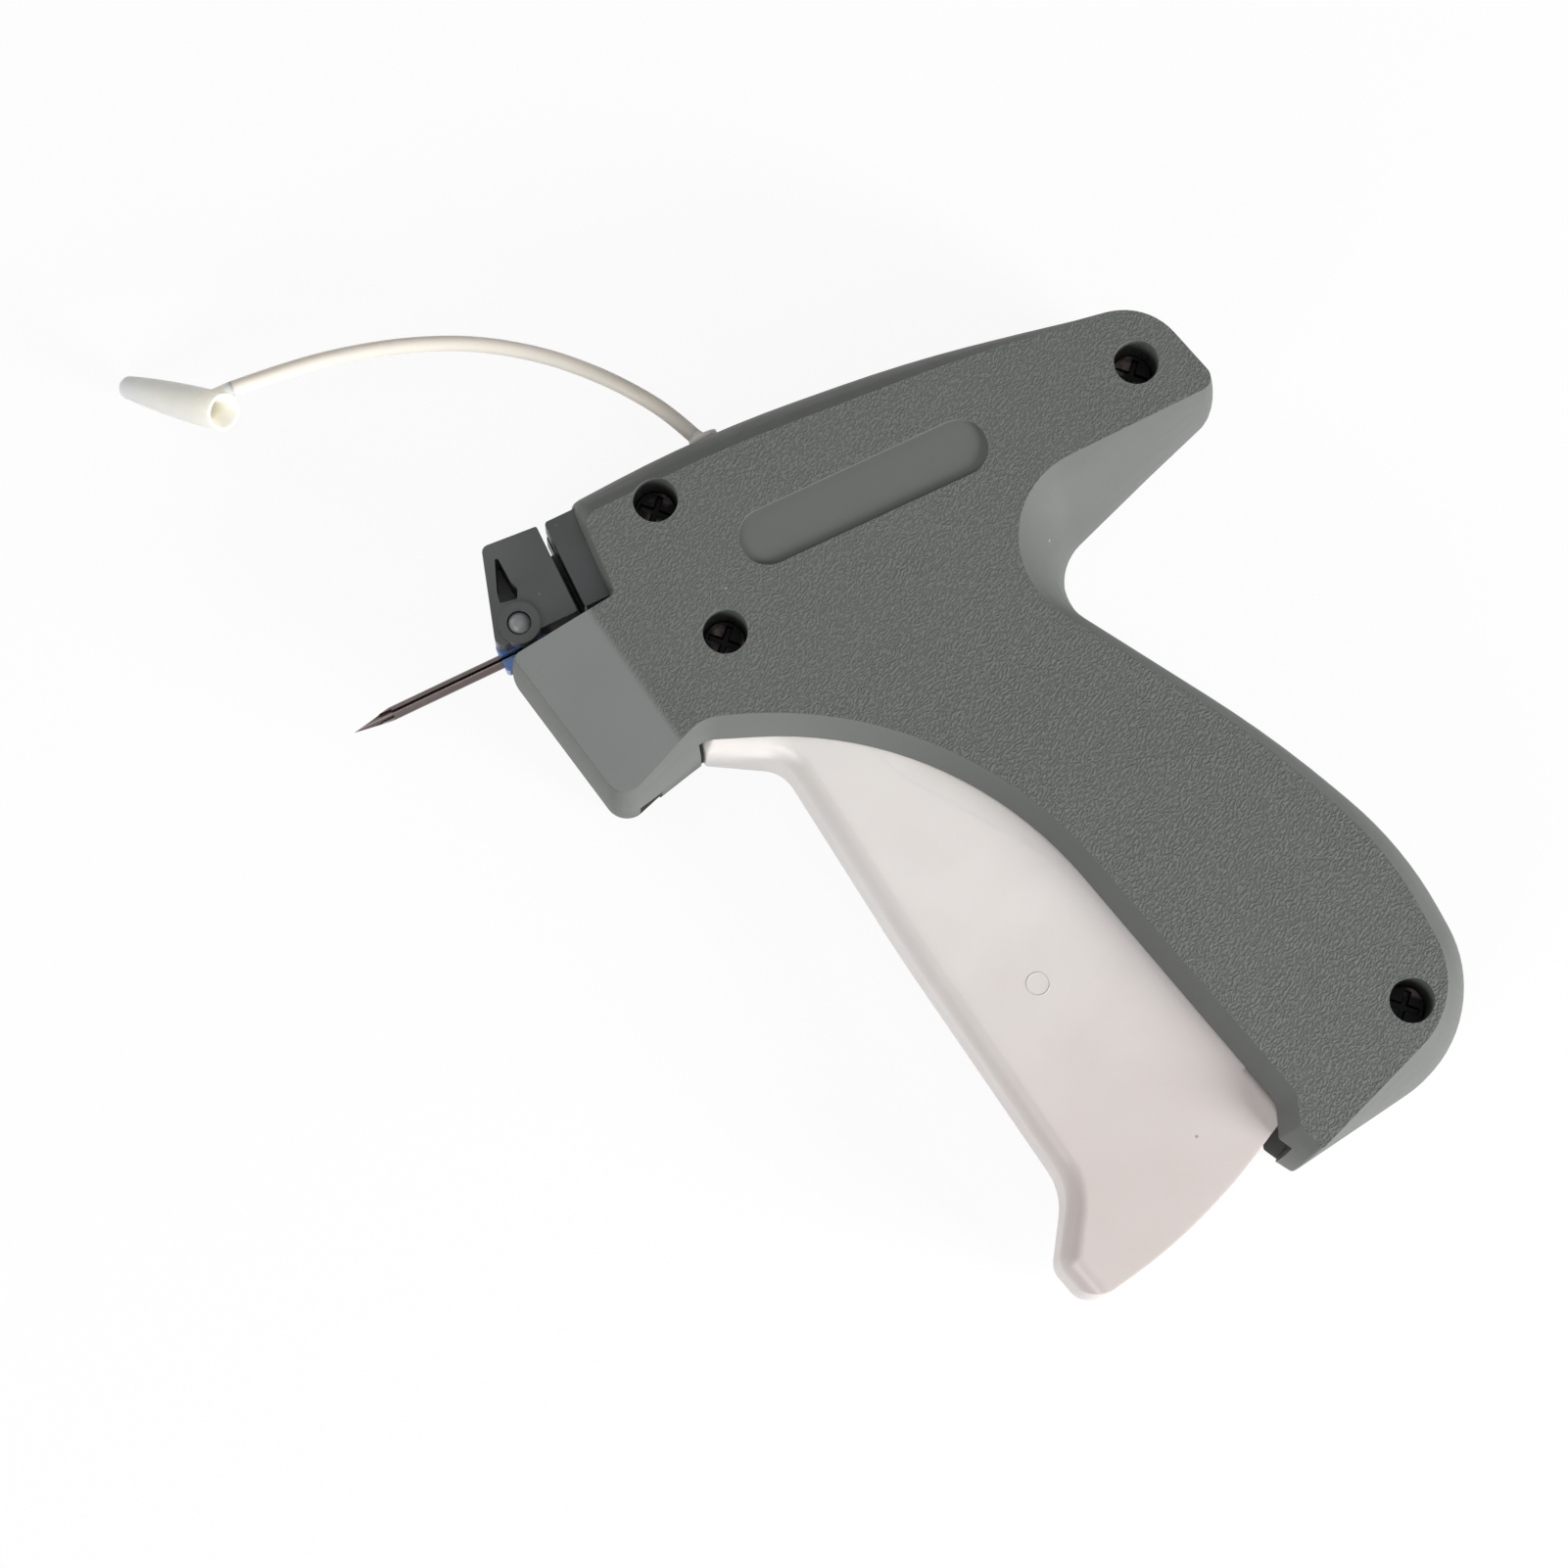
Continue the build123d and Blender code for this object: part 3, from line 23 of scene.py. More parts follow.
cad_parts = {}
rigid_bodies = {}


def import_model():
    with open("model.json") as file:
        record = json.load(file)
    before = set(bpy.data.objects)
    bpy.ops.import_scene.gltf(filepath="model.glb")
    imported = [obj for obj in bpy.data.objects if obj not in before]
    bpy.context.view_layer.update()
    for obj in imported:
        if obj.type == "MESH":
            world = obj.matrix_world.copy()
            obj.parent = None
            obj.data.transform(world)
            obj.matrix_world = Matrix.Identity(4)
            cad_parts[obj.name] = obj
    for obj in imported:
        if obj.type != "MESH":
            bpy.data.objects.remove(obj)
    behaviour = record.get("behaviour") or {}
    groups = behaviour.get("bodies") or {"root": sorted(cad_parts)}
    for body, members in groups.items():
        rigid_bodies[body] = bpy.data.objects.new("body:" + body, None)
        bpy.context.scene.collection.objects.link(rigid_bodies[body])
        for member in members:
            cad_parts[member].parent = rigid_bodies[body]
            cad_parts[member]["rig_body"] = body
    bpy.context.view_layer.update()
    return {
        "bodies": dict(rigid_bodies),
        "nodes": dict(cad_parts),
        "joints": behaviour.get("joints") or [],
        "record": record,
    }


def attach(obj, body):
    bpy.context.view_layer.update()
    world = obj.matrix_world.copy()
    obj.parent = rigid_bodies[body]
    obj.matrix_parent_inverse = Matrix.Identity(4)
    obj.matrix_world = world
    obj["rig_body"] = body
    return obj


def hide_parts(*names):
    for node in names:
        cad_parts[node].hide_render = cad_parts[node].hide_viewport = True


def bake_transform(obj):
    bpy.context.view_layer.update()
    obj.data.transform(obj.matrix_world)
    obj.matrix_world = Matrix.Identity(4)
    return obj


LOG = logging.getLogger("tag_attacher")
MM = 0.001
FINE_MERGE = 1e-7
COPY_MERGE = 0.002 * MM
Colour = tuple[float, float, float]
Point = tuple[float, float, float]
Span = tuple[float, float]


class Tone(Enum):
    """Base colours of the plastics and metals, linear; a few also hold painted light, as marked."""

    HOUSING_GRAIN = (0.129, 0.137, 0.129)
    HOUSING_SATIN = (0.132, 0.139, 0.131)
    # lighter than the satin grey: the plastic's grey plus a painted reflection of the lamps on the nose's
    # smooth slope
    NOSE_GREY_PAINTED_REFLECTION = (0.202, 0.213, 0.205)
    HEAD = (0.078, 0.081, 0.079)
    BLOCK = (0.046, 0.051, 0.053)
    CREAM = (0.705, 0.672, 0.648)
    CREAM_PINK = (0.560, 0.500, 0.480)
    STRAP = (0.830, 0.782, 0.700)
    CAP = (0.960, 0.915, 0.830)
    BLUE = (0.050, 0.140, 0.380)
    CLOUDY = (0.340, 0.345, 0.355)
    ACETAL = (0.700, 0.695, 0.660)
    STEEL = (0.560, 0.550, 0.545)
    NEEDLE = (0.150, 0.124, 0.118)
    # near black, set so that the screws deep in their holes look dark
    NEAR_BLACK = (0.011, 0.011, 0.012)
    WIRE = (0.330, 0.330, 0.335)
    # pale dust and scuffs, and also the painted highlight on the housing grain's crests
    DUST_AND_PAINTED_HIGHLIGHT = (0.420, 0.420, 0.400)
    SOOT = (0.060, 0.055, 0.050)
    SPECK = (0.200, 0.170, 0.150)
    STAIN = (0.300, 0.240, 0.210)


class Side(Enum):
    """Side of the housing that a shell belongs to; the value is the direction of its flat face."""

    LEFT = 1.0
    RIGHT = -1.0


# ---------------------------------------------------------------- shader maths
class Value:
    """A socket that takes part in Python expressions; each operation adds a Math node."""

    def __init__(self, graph: "Graph", socket: bpy.types.NodeSocket) -> None:
        """Keeps the socket and the graph that it belongs to.

        Args:
            graph: graph that new nodes go into.
            socket: output socket that carries the value.
        """
        self.graph = graph
        self.socket = socket

    def _math(self, operation: str, *inputs: Any) -> "Value":
        """Adds one Math node.

        Args:
            operation: name of the operation.
            inputs: operands in order, values or numbers.

        Returns:
            The result as a value.
        """
        return self.graph.add("ShaderNodeMath", {"operation": operation}, dict(enumerate(inputs)))

    def __add__(self, other: Any) -> "Value":
        """Sum."""
        return self._math("ADD", self, other)

    def __radd__(self, other: Any) -> "Value":
        """Sum with a number in front."""
        return self._math("ADD", other, self)

    def __sub__(self, other: Any) -> "Value":
        """Difference."""
        return self._math("SUBTRACT", self, other)

    def __rsub__(self, other: Any) -> "Value":
        """Difference with a number in front."""
        return self._math("SUBTRACT", other, self)

    def __mul__(self, other: Any) -> "Value":
        """Product."""
        return self._math("MULTIPLY", self, other)

    def __rmul__(self, other: Any) -> "Value":
        """Product with a number in front."""
        return self._math("MULTIPLY", other, self)

    def least(self, other: Any) -> "Value":
        """Smaller of the two."""
        return self._math("MINIMUM", self, other)

    def step(self, low: float, high: float) -> "Value":
        """Soft step from 0 at low to 1 at high; it falls when high is below low.

        Args:
            low: value at which the step is 0.
            high: value at which the step is 1.

        Returns:
            The step as a value.
        """
        start, end = (low, high) if low < high else (high, low)
        stepped = self.graph.add(
            "ShaderNodeMapRange",
            {"interpolation_type": "SMOOTHSTEP"},
            {"Value": self, "From Min": start, "From Max": end, "To Min": 0.0, "To Max": 1.0},
        )
        return stepped if low < high else 1 - stepped


class Graph:
    """Node tree of one material with its Principled shader."""

    def __init__(self, name: str) -> None:
        """Makes an empty material with a shader and an output.

        Args:
            name: name of the material.
        """
        self.material = bpy.data.materials.new(name)
        self.material.use_nodes = True
        self.tree = self.material.node_tree
        self.tree.nodes.clear()
        self.shader = self.tree.nodes.new("ShaderNodeBsdfPrincipled")
        self.output = self.tree.nodes.new("ShaderNodeOutputMaterial")
        self.tree.links.new(self.shader.outputs[0], self.output.inputs[0])

    def add(
        self,
        kind: str,
        settings: Mapping[str, Any] | None = None,
        inputs: Mapping[Any, Any] | None = None,
        output: Any = 0,
    ) -> Value:
        """Adds any node.

        Args:
            kind: type of the node.
            settings: its properties, set first.
            inputs: values, links or constants by socket name or number.
            output: name or number of the socket that is returned.

        Returns:
            The chosen output as a value.
        """
        node = self.tree.nodes.new(kind)
        for key, setting in (settings or {}).items():
            setattr(node, key, setting)
        for key, value in (inputs or {}).items():
            self._feed(node.inputs[key], value)
        return Value(self, node.outputs[output])

    def _feed(self, socket: bpy.types.NodeSocket, value: Any) -> None:
        """Links a value to a socket or stores a constant in it.

        Args:
            socket: input socket.
            value: Value, number or tuple.
        """
        if isinstance(value, Value):
            self.tree.links.new(value.socket, socket)
        elif isinstance(value, tuple) and len(value) == 3 and socket.type == "RGBA":
            socket.default_value = (*value, 1.0)
        else:
            socket.default_value = value

    def finish(self, **inputs: Any) -> bpy.types.Material:
        """Feeds the shader.

        Args:
            inputs: values by socket name, with underscores for spaces.

        Returns:
            The finished material.
        """
        for key, value in inputs.items():
            self._feed(self.shader.inputs[key.replace("_", " ")], value)
        return self.material

    # ---- common sources
    def place(self, turn: Point = (0.0, 0.0, 0.0), stretch: Point = (1.0, 1.0, 1.0)) -> Value:
        """Object coordinates in metres, turned and stretched.

        Args:
            turn: angles in radians.
            stretch: factor along each axis.

        Returns:
            The coordinates.
        """
        source = self.add("ShaderNodeTexCoord", output="Object")
        inputs = {"Vector": source, "Rotation": turn, "Scale": stretch}
        return self.add("ShaderNodeMapping", {"vector_type": "POINT"}, inputs)

    def axis(self, vector: Value, name: str) -> Value:
        """One component of a vector.

        Args:
            vector: the vector.
            name: X, Y or Z.

        Returns:
            The component.
        """
        return self.add("ShaderNodeSeparateXYZ", inputs={0: vector}, output=name)

    def facing(self) -> Value:
        """Surface normal in the part's own axes."""
        return self.add("ShaderNodeTexCoord", output="Normal")

    def noise(
        self, vector: Value, scale: float, detail: float = 2.0, rough: float = 0.5, twist: float = 0.0
    ) -> Value:
        """Cloudy noise between 0 and 1.

        Args:
            vector: coordinates.
            scale: number of clouds in a metre.
            detail: number of octaves.
            rough: weight of the finer octaves.
            twist: distortion.

        Returns:
            The noise.
        """
        octaves = {"Detail": detail, "Roughness": rough, "Distortion": twist}
        return self.add("ShaderNodeTexNoise", inputs={"Vector": vector, "Scale": scale, **octaves})

    def cells(self, vector: Value, scale: float) -> Value:
        """Distance to the nearest cell centre.

        Args:
            vector: coordinates.
            scale: number of cells in a metre.

        Returns:
            The distance.
        """
        inputs = {"Vector": vector, "Scale": scale}
        return self.add("ShaderNodeTexVoronoi", {"feature": "F1"}, inputs, "Distance")

    def mix(self, factor: Any, first: Any, second: Any) -> Value:
        """Blend of two colours.

        Args:
            factor: share of the second colour.
            first: colour at 0.
            second: colour at 1.

        Returns:
            The blended colour.
        """
        return self.add("ShaderNodeMix", {"data_type": "RGBA"}, {0: factor, 6: first, 7: second}, 2)

    def bump(
        self, height: Value, distance: float, strength: float = 1.0, normal: Value | None = None
    ) -> Value:
        """Relief from a height.

        Args:
            height: height between 0 and 1.
            distance: height in metres that 1 stands for.
            strength: share of the effect.
            normal: relief underneath.

        Returns:
            The normal.
        """
        inputs: dict[str, Any] = {"Height": height, "Distance": distance, "Strength": strength}
        if normal is not None:
            inputs["Normal"] = normal
        return self.add("ShaderNodeBump", inputs=inputs)


# ---------------------------------------------------------------- finishes
@dataclass(frozen=True)
class GrainedHousing:
    """Moulded grey plastic: leather grain on the flat side, smooth satin on rims and nose, the nose lightened
    by a painted reflection.
    """

    side: Side
    grain: float = 0.31 * MM
    grain_length: float = 1.50
    grain_lie: float = 0.50
    grain_depth: float = 0.105 * MM
    # share of the painted shade in the grain's valleys
    valley_shade: float = 0.22
    gloss: float = 0.20
    middle_z: float = 13.0 * MM
    grain_low: float = 12.76 * MM
    grain_full: float = 12.92 * MM
    crease_x: float = -13.2 * MM
    crease_lean: float = 0.16
    crease_blend: Span = (-0.5 * MM, 0.9 * MM)
    flat_look: Span = (0.985, 0.9985)
    nose_look: Span = (0.93, 0.985)
    roughness: float = 0.58
    grain_roughness: float = 0.06
    bend_scale: float = 420.0
    bend_reach: float = 0.7 * MM
    wrinkle_cut: Span = (0.36, 0.66)
    painted_valley_shade_factor: float = 0.45
    grip_fade: Span = (8.0 * MM, -38.0 * MM)
    grip_strength: float = 0.40
    cloud_strength: float = 0.22
    least_strength: float = 0.38
    stain_share: float = 0.16
    stain_tone: float = 0.78
    crest_painted_highlight: float = 0.07
    scuff_share: float = 0.55
    speck_share: float = 0.80

    def material(self) -> bpy.types.Material:
        """Builds the finish.

        The height of the grain is a twisted noise cut off softly above and below, on coordinates
        drawn out along one direction. It shows where the surface looks straight out of the side
        and lies on the outermost plane, behind the nose's crease.

        Returns:
            The material.
        """
        g = Graph(f"housing_{self.side.name.lower()}_plastic")
        where = g.place()
        x, y, z = (g.axis(where, name) for name in "XYZ")
        flat = (g.axis(g.facing(), "Z") * self.side.value).step(*self.flat_look)
        from_crease = x + y * self.crease_lean
        behind_nose = from_crease.step(*(self.crease_x + reach for reach in self.crease_blend))
        outermost = ((z - self.middle_z) * self.side.value).step(self.grain_low, self.grain_full)
        grained = flat * behind_nose * outermost
        height = self.grain_height(g, where)
        relief = g.bump(g.noise(where, 240.0, 3.0), 0.012 * MM, 0.35)
        relief = g.bump(height * grained * self.patches(g, where), self.grain_depth, 1.0, relief)
        colour = g.mix(flat, Tone.HOUSING_SATIN.value, Tone.HOUSING_GRAIN.value)
        # Painted reflection: ahead of the crease, where the side faces out, the colour turns to the lighter
        # nose grey, which stands in for the lamps' reflection there.
        nose = (1 - behind_nose) * (g.axis(g.facing(), "Z") * self.side.value).step(*self.nose_look)
        colour = g.mix(nose, colour, Tone.NOSE_GREY_PAINTED_REFLECTION.value)
        # Painted shade: the grain's valleys are darkened in the colour, standing in for the shade that falls
        # in them.
        painted_valley_shade = grained * (1 - height) * self.valley_shade
        colour = g.mix(painted_valley_shade, colour, tuple(part * self.painted_valley_shade_factor for part in Tone.HOUSING_GRAIN.value))
        colour = self.wear_and_painted_highlight(g, where, colour, height * grained)
        rough = self.roughness + grained * self.grain_roughness + (g.noise(where, 420.0) - 0.5) * 0.08
        return g.finish(Base_Color=colour, Roughness=rough, Normal=relief, Specular_IOR_Level=self.gloss)

    def grain_height(self, g: Graph, where: Value) -> Value:
        """Height of the wrinkles between 0 and 1.

        Args:
            g: graph of the finish.
            where: object coordinates.

        Returns:
            The height.
        """
        clouds = {"Vector": where, "Scale": self.bend_scale, "Detail": 1.0}
        bend = g.add("ShaderNodeTexNoise", inputs=clouds, output="Color")
        reach = (self.bend_reach, self.bend_reach, 0.0)
        bent = g.add("ShaderNodeVectorMath", {"operation": "MULTIPLY_ADD"}, {0: bend, 1: reach, 2: where})
        turn, stretch = (0.0, 0.0, self.grain_lie), (self.grain_length, 1.0, 1.0)
        inputs = {"Vector": bent, "Rotation": turn, "Scale": stretch}
        lie = g.add("ShaderNodeMapping", {"vector_type": "TEXTURE"}, inputs)
        return g.noise(lie, 1.0 / self.grain, 1.0, 0.45, 0.5).step(*self.wrinkle_cut)

    def patches(self, g: Graph, where: Value) -> Value:
        """Strength of the grain: deeper down the grip, shallower and cloudy along the barrel.

        Args:
            g: graph of the finish.
            where: object coordinates.

        Returns:
            The strength, between 0.38 and 1.
        """
        grip = g.axis(where, "Y").step(*self.grip_fade)
        cloud = g.noise(where, 110.0, 2.0).step(0.30, 0.70)
        return grip * self.grip_strength + cloud * self.cloud_strength + self.least_strength

    def wear_and_painted_highlight(self, g: Graph, where: Value, colour: Value, crests: Value) -> Value:
        """Faint clouds, a painted highlight on the grain's crests, sparse pale scuffs and dark specks.

        Args:
            g: graph of the finish.
            where: object coordinates.
            colour: colour underneath.
            crests: height of the grain, 0 where there is none.

        Returns:
            The colour.
        """
        cloud = g.noise(where, 38.0, 3.0, 0.55).step(0.35, 0.70)
        stained = tuple(part * self.stain_tone for part in Tone.HOUSING_GRAIN.value)
        colour = g.mix(cloud * self.stain_share, colour, stained)
        # Painted highlight: the grain's crests are lightened towards the pale tone, standing in for glints of
        # light on them.
        colour = g.mix(crests.step(0.45, 1.0) * self.crest_painted_highlight, colour, Tone.DUST_AND_PAINTED_HIGHLIGHT.value)
        scuffs = g.cells(where, 210.0).step(0.060, 0.025) * g.noise(where, 300.0).step(0.55, 0.62)
        colour = g.mix(scuffs * self.scuff_share, colour, Tone.DUST_AND_PAINTED_HIGHLIGHT.value)
        specks = g.cells(where, 120.0).step(0.030, 0.018) * g.noise(where, 90.0).step(0.50, 0.56)
        return g.mix(specks * self.speck_share, colour, Tone.SOOT.value)


@dataclass(frozen=True)
class SatinPlastic:
    """Plain moulded plastic with faint clouds of a second tone and a little dust."""

    name: str
    tone: Tone
    second: Tone
    roughness: float = 0.42
    clouds: float = 60.0
    relief: float = 0.015 * MM
    subsurface: float = 0.0
    reach: float = 0.9 * MM
    coat: float = 0.0
    gloss: float = 0.40
    cloud_share: float = 0.50
    dust_share: float = 0.30

    def material(self) -> bpy.types.Material:
        """Builds the finish: clouds and dust in the colour, a noise each for gloss and relief.

        Returns:
            The material.
        """
        g = Graph(self.name)
        where = g.place()
        cloud = g.noise(where, self.clouds, 4.0, 0.55)
        colour = g.mix(cloud.step(0.30, 0.75) * self.cloud_share, self.tone.value, self.second.value)
        dust = g.cells(where, 520.0).step(0.09, 0.04) * g.noise(where, 900.0).step(0.58, 0.64)
        colour = g.mix(dust * self.dust_share, colour, Tone.DUST_AND_PAINTED_HIGHLIGHT.value)
        rough = self.roughness + (g.noise(where, 350.0, 3.0) - 0.5) * 0.10
        relief = g.bump(g.noise(where, 300.0, 3.0), self.relief, 0.5)
        extra: dict[str, Any] = {"Specular_IOR_Level": self.gloss}
        if self.subsurface:
            extra |= {
                "Subsurface_Weight": self.subsurface, "Subsurface_Radius": (1.0, 0.85, 0.65),
                "Subsurface_Scale": self.reach,
            }
        if self.coat:
            extra["Coat_Weight"] = self.coat
        return g.finish(Base_Color=colour, Roughness=rough, Normal=relief, **extra)


@dataclass(frozen=True)
class TriggerCream:
    """Cream plastic of the trigger: milky, with pink flow clouds and rare dark specks."""

    roughness: float = 0.34
    flow_turn: float = 1.2
    flow_share: float = 0.30
    toe_fade: Span = (-40.0 * MM, -84.0 * MM)
    toe_share: float = 0.70
    speck_share: float = 0.75

    def material(self) -> bpy.types.Material:
        """Builds the finish: pink clouds along the flow, pinker towards the toe, and a few specks.

        Returns:
            The material.
        """
        g = Graph("trigger_cream_plastic")
        where = g.place(turn=(0.0, 0.0, self.flow_turn), stretch=(0.5, 1.0, 1.0))
        cloud = g.noise(where, 34.0, 4.0, 0.6, 0.6)
        toe = g.axis(g.place(), "Y").step(*self.toe_fade)
        share = (cloud.step(0.42, 0.78) * self.flow_share + toe * self.toe_share).least(1.0)
        colour = g.mix(share, Tone.CREAM.value, Tone.CREAM_PINK.value)
        specks = g.cells(g.place(), 105.0).step(0.030, 0.018) * g.noise(where, 190.0).step(0.52, 0.58)
        colour = g.mix(specks * self.speck_share, colour, Tone.SPECK.value)
        rough = self.roughness + (g.noise(where, 260.0, 3.0) - 0.5) * 0.12
        relief = g.bump(g.noise(g.place(), 420.0, 3.0), 0.012 * MM, 0.5)
        return g.finish(
            Base_Color=colour, Roughness=rough, Normal=relief,
            Subsurface_Weight=0.25, Subsurface_Radius=(1.0, 0.85, 0.7), Subsurface_Scale=1.2 * MM,
        )


@dataclass(frozen=True)
class DrawnSteel:
    """Drawn or ground steel: fine lines, a few stains and slightly uneven gloss."""

    name: str
    tone: Tone
    stretch: Point
    roughness: float = 0.26
    line_scale: float = 2600.0
    line_tone: float = 0.72
    line_share: float = 0.50
    stain_share: float = 0.35

    def material(self) -> bpy.types.Material:
        """Builds the finish: noise drawn out along the axis that stretch makes small.

        Returns:
            The material.
        """
        g = Graph(self.name)
        where = g.place(stretch=self.stretch)
        lines = g.noise(where, self.line_scale, 3.0, 0.6)
        stain = g.noise(g.place(), 320.0, 3.0)
        dimmed = tuple(part * self.line_tone for part in self.tone.value)
        colour = g.mix(lines * self.line_share, self.tone.value, dimmed)
        colour = g.mix(stain.step(0.55, 0.8) * self.stain_share, colour, Tone.STAIN.value)
        rough = self.roughness + lines * 0.14
        relief = g.bump(lines, 0.006 * MM, 0.6)
        return g.finish(Base_Color=colour, Roughness=rough, Metallic=1.0, Normal=relief)


@dataclass(frozen=True)
class PaleBackdrop:
    """Floor that the camera and reflections see as white, with the object's soft shadow kept."""

    colour: Colour = (0.86, 0.86, 0.86)
    share: float = 0.92

    def material(self) -> bpy.types.Material:
        """Builds the finish: a matt floor mixed with plain white for seen rays.

        Returns:
            The material.
        """
        g = Graph("pale_floor")
        g.finish(Base_Color=self.colour, Roughness=0.9)
        light = self.seen(g)
        glow = g.add("ShaderNodeEmission", inputs={"Color": (1.0, 1.0, 1.0, 1.0), "Strength": 1.0})
        matt = Value(g, g.shader.outputs[0])
        both = g.add("ShaderNodeMixShader", inputs={0: light * self.share, 1: matt, 2: glow})
        g.tree.links.new(both.socket, g.output.inputs[0])
        return g.material

    def seen(self, g: Graph) -> Value:
        """1 for camera, glossy and transmission rays.

        Args:
            g: graph of the floor.

        Returns:
            The mask.
        """
        kinds = ("Camera", "Glossy", "Transmission")
        rays = [g.add("ShaderNodeLightPath", output=f"Is {kind} Ray") for kind in kinds]
        return (rays[0] + rays[1] + rays[2]).least(1.0)


# ---------------------------------------------------------------- meshes
def mesh_object(
    name: str, points: np.ndarray, faces: Sequence[Sequence[int]] | np.ndarray
) -> bpy.types.Object:
    """Makes a smooth object from points in metres.

    Args:
        name: name of the piece.
        points: array of points, one row each.
        faces: corner numbers of each face.

    Returns:
        The object, at the origin.
    """
    mesh = bpy.data.meshes.new(name)
    mesh.from_pydata(points.tolist(), [], [list(map(int, f)) for f in faces])
    mesh.validate()
    mesh.polygons.foreach_set("use_smooth", np.ones(len(mesh.polygons), dtype=bool))
    piece = bpy.data.objects.new(name, mesh)
    bpy.context.scene.collection.objects.link(piece)
    LOG.info("made %s", name)
    return piece


def grid_faces(rows: int, columns: int, wrap_rows: bool = False) -> np.ndarray:
    """Quads of a grid of points stored row by row, where each row is a ring.

    Args:
        rows: number of rows.
        columns: number of points in a row.
        wrap_rows: whether the last row joins the first.

    Returns:
        Array of four corner numbers for each face.
    """
    i = np.arange(rows if wrap_rows else rows - 1)
    a, b = np.meshgrid(i, np.arange(columns), indexing="ij")
    a2, b2 = (a + 1) % rows, (b + 1) % columns
    quads = np.stack([a * columns + b, a * columns + b2, a2 * columns + b2, a2 * columns + b], axis=-1)
    return quads.reshape(-1, 4)


def carried_ring(path: np.ndarray, radius: float, sides: int) -> tuple[np.ndarray, list[tuple[int, ...]]]:
    """Tube of circles carried along a path without twist.

    At each path point the circle lies in the plane across the local direction t. Its first
    axis is the previous one less its part along t, and the second is t crossed with it.

    Args:
        path: points of the centre line.
        radius: radius of the circles.
        sides: points on each circle.

    Returns:
        The points and the faces: quads, and a fan of triangles on each end.
    """
    count = len(path)
    along = np.gradient(path, axis=0)
    along /= np.linalg.norm(along, axis=1, keepdims=True)
    first = np.cross(along[0], (0.0, 0.0, 1.0) if abs(along[0][2]) < 0.9 else (1.0, 0.0, 0.0))
    axes = np.empty_like(path)
    for i in range(count):
        first = first - along[i] * np.dot(first, along[i])
        first /= np.linalg.norm(first)
        axes[i] = first
    second = np.cross(along, axes)
    angle = np.linspace(0.0, 2.0 * np.pi, sides, endpoint=False)
    ring = np.cos(angle)[None, :, None] * axes[:, None, :] + np.sin(angle)[None, :, None] * second[:, None, :]
    points = (path[:, None, :] + radius * ring).reshape(-1, 3)
    quads = grid_faces(count, sides)
    ends = np.vstack([path[0], path[-1]])
    low, high = len(points), len(points) + 1
    j = np.arange(sides)
    k = (j + 1) % sides
    base = (count - 1) * sides
    caps = [(low, int(b), int(a)) for a, b in zip(j, k)]
    caps += [(high, int(base + a), int(base + b)) for a, b in zip(j, k)]
    faces = [tuple(q[::-1]) for q in quads.tolist()] + [tuple(c[::-1]) for c in caps]
    return np.vstack([points, ends]), faces


def rounded_line(corners: Sequence[tuple[float, float, float]], steps: int = 12) -> np.ndarray:
    """Flat line through corners, each rounded by its radius.

    At a corner with half turn h the arc starts radius * tan(h) before it. The arc is drawn as
    start + radius * (sin(a) * direction + (1 - cos(a)) * side), for a from 0 to the whole turn.

    Args:
        corners: x, y and radius of each corner; the two ends have no radius.
        steps: points on an arc.

    Returns:
        Points of the line, in the plane.
    """
    pieces = [np.array([corners[0][:2]])]
    for before, corner, after in zip(corners, corners[1:], corners[2:]):
        place, radius = np.array(corner[:2]), corner[2]
        into, out = place - np.array(before[:2]), np.array(after[:2]) - place
        into, out = into / np.linalg.norm(into), out / np.linalg.norm(out)
        turn = math.atan2(into[0] * out[1] - into[1] * out[0], float(into @ out))
        side = np.array([-into[1], into[0]]) * math.copysign(1.0, turn)
        start = place - into * radius * math.tan(abs(turn) / 2)
        a = np.linspace(0.0, abs(turn), steps)[:, None]
        pieces.append(start + radius * (np.sin(a) * into + (1 - np.cos(a)) * side))
    pieces.append(np.array([corners[-1][:2]]))
    return np.vstack(pieces)


def tidy(piece: bpy.types.Object) -> None:
    """Merges doubled points and turns all faces outwards.

    Args:
        piece: object to clean.
    """
    work = bmesh.new()
    work.from_mesh(piece.data)
    bmesh.ops.remove_doubles(work, verts=work.verts, dist=FINE_MERGE)
    bmesh.ops.recalc_face_normals(work, faces=work.faces)
    work.to_mesh(piece.data)
    work.free()


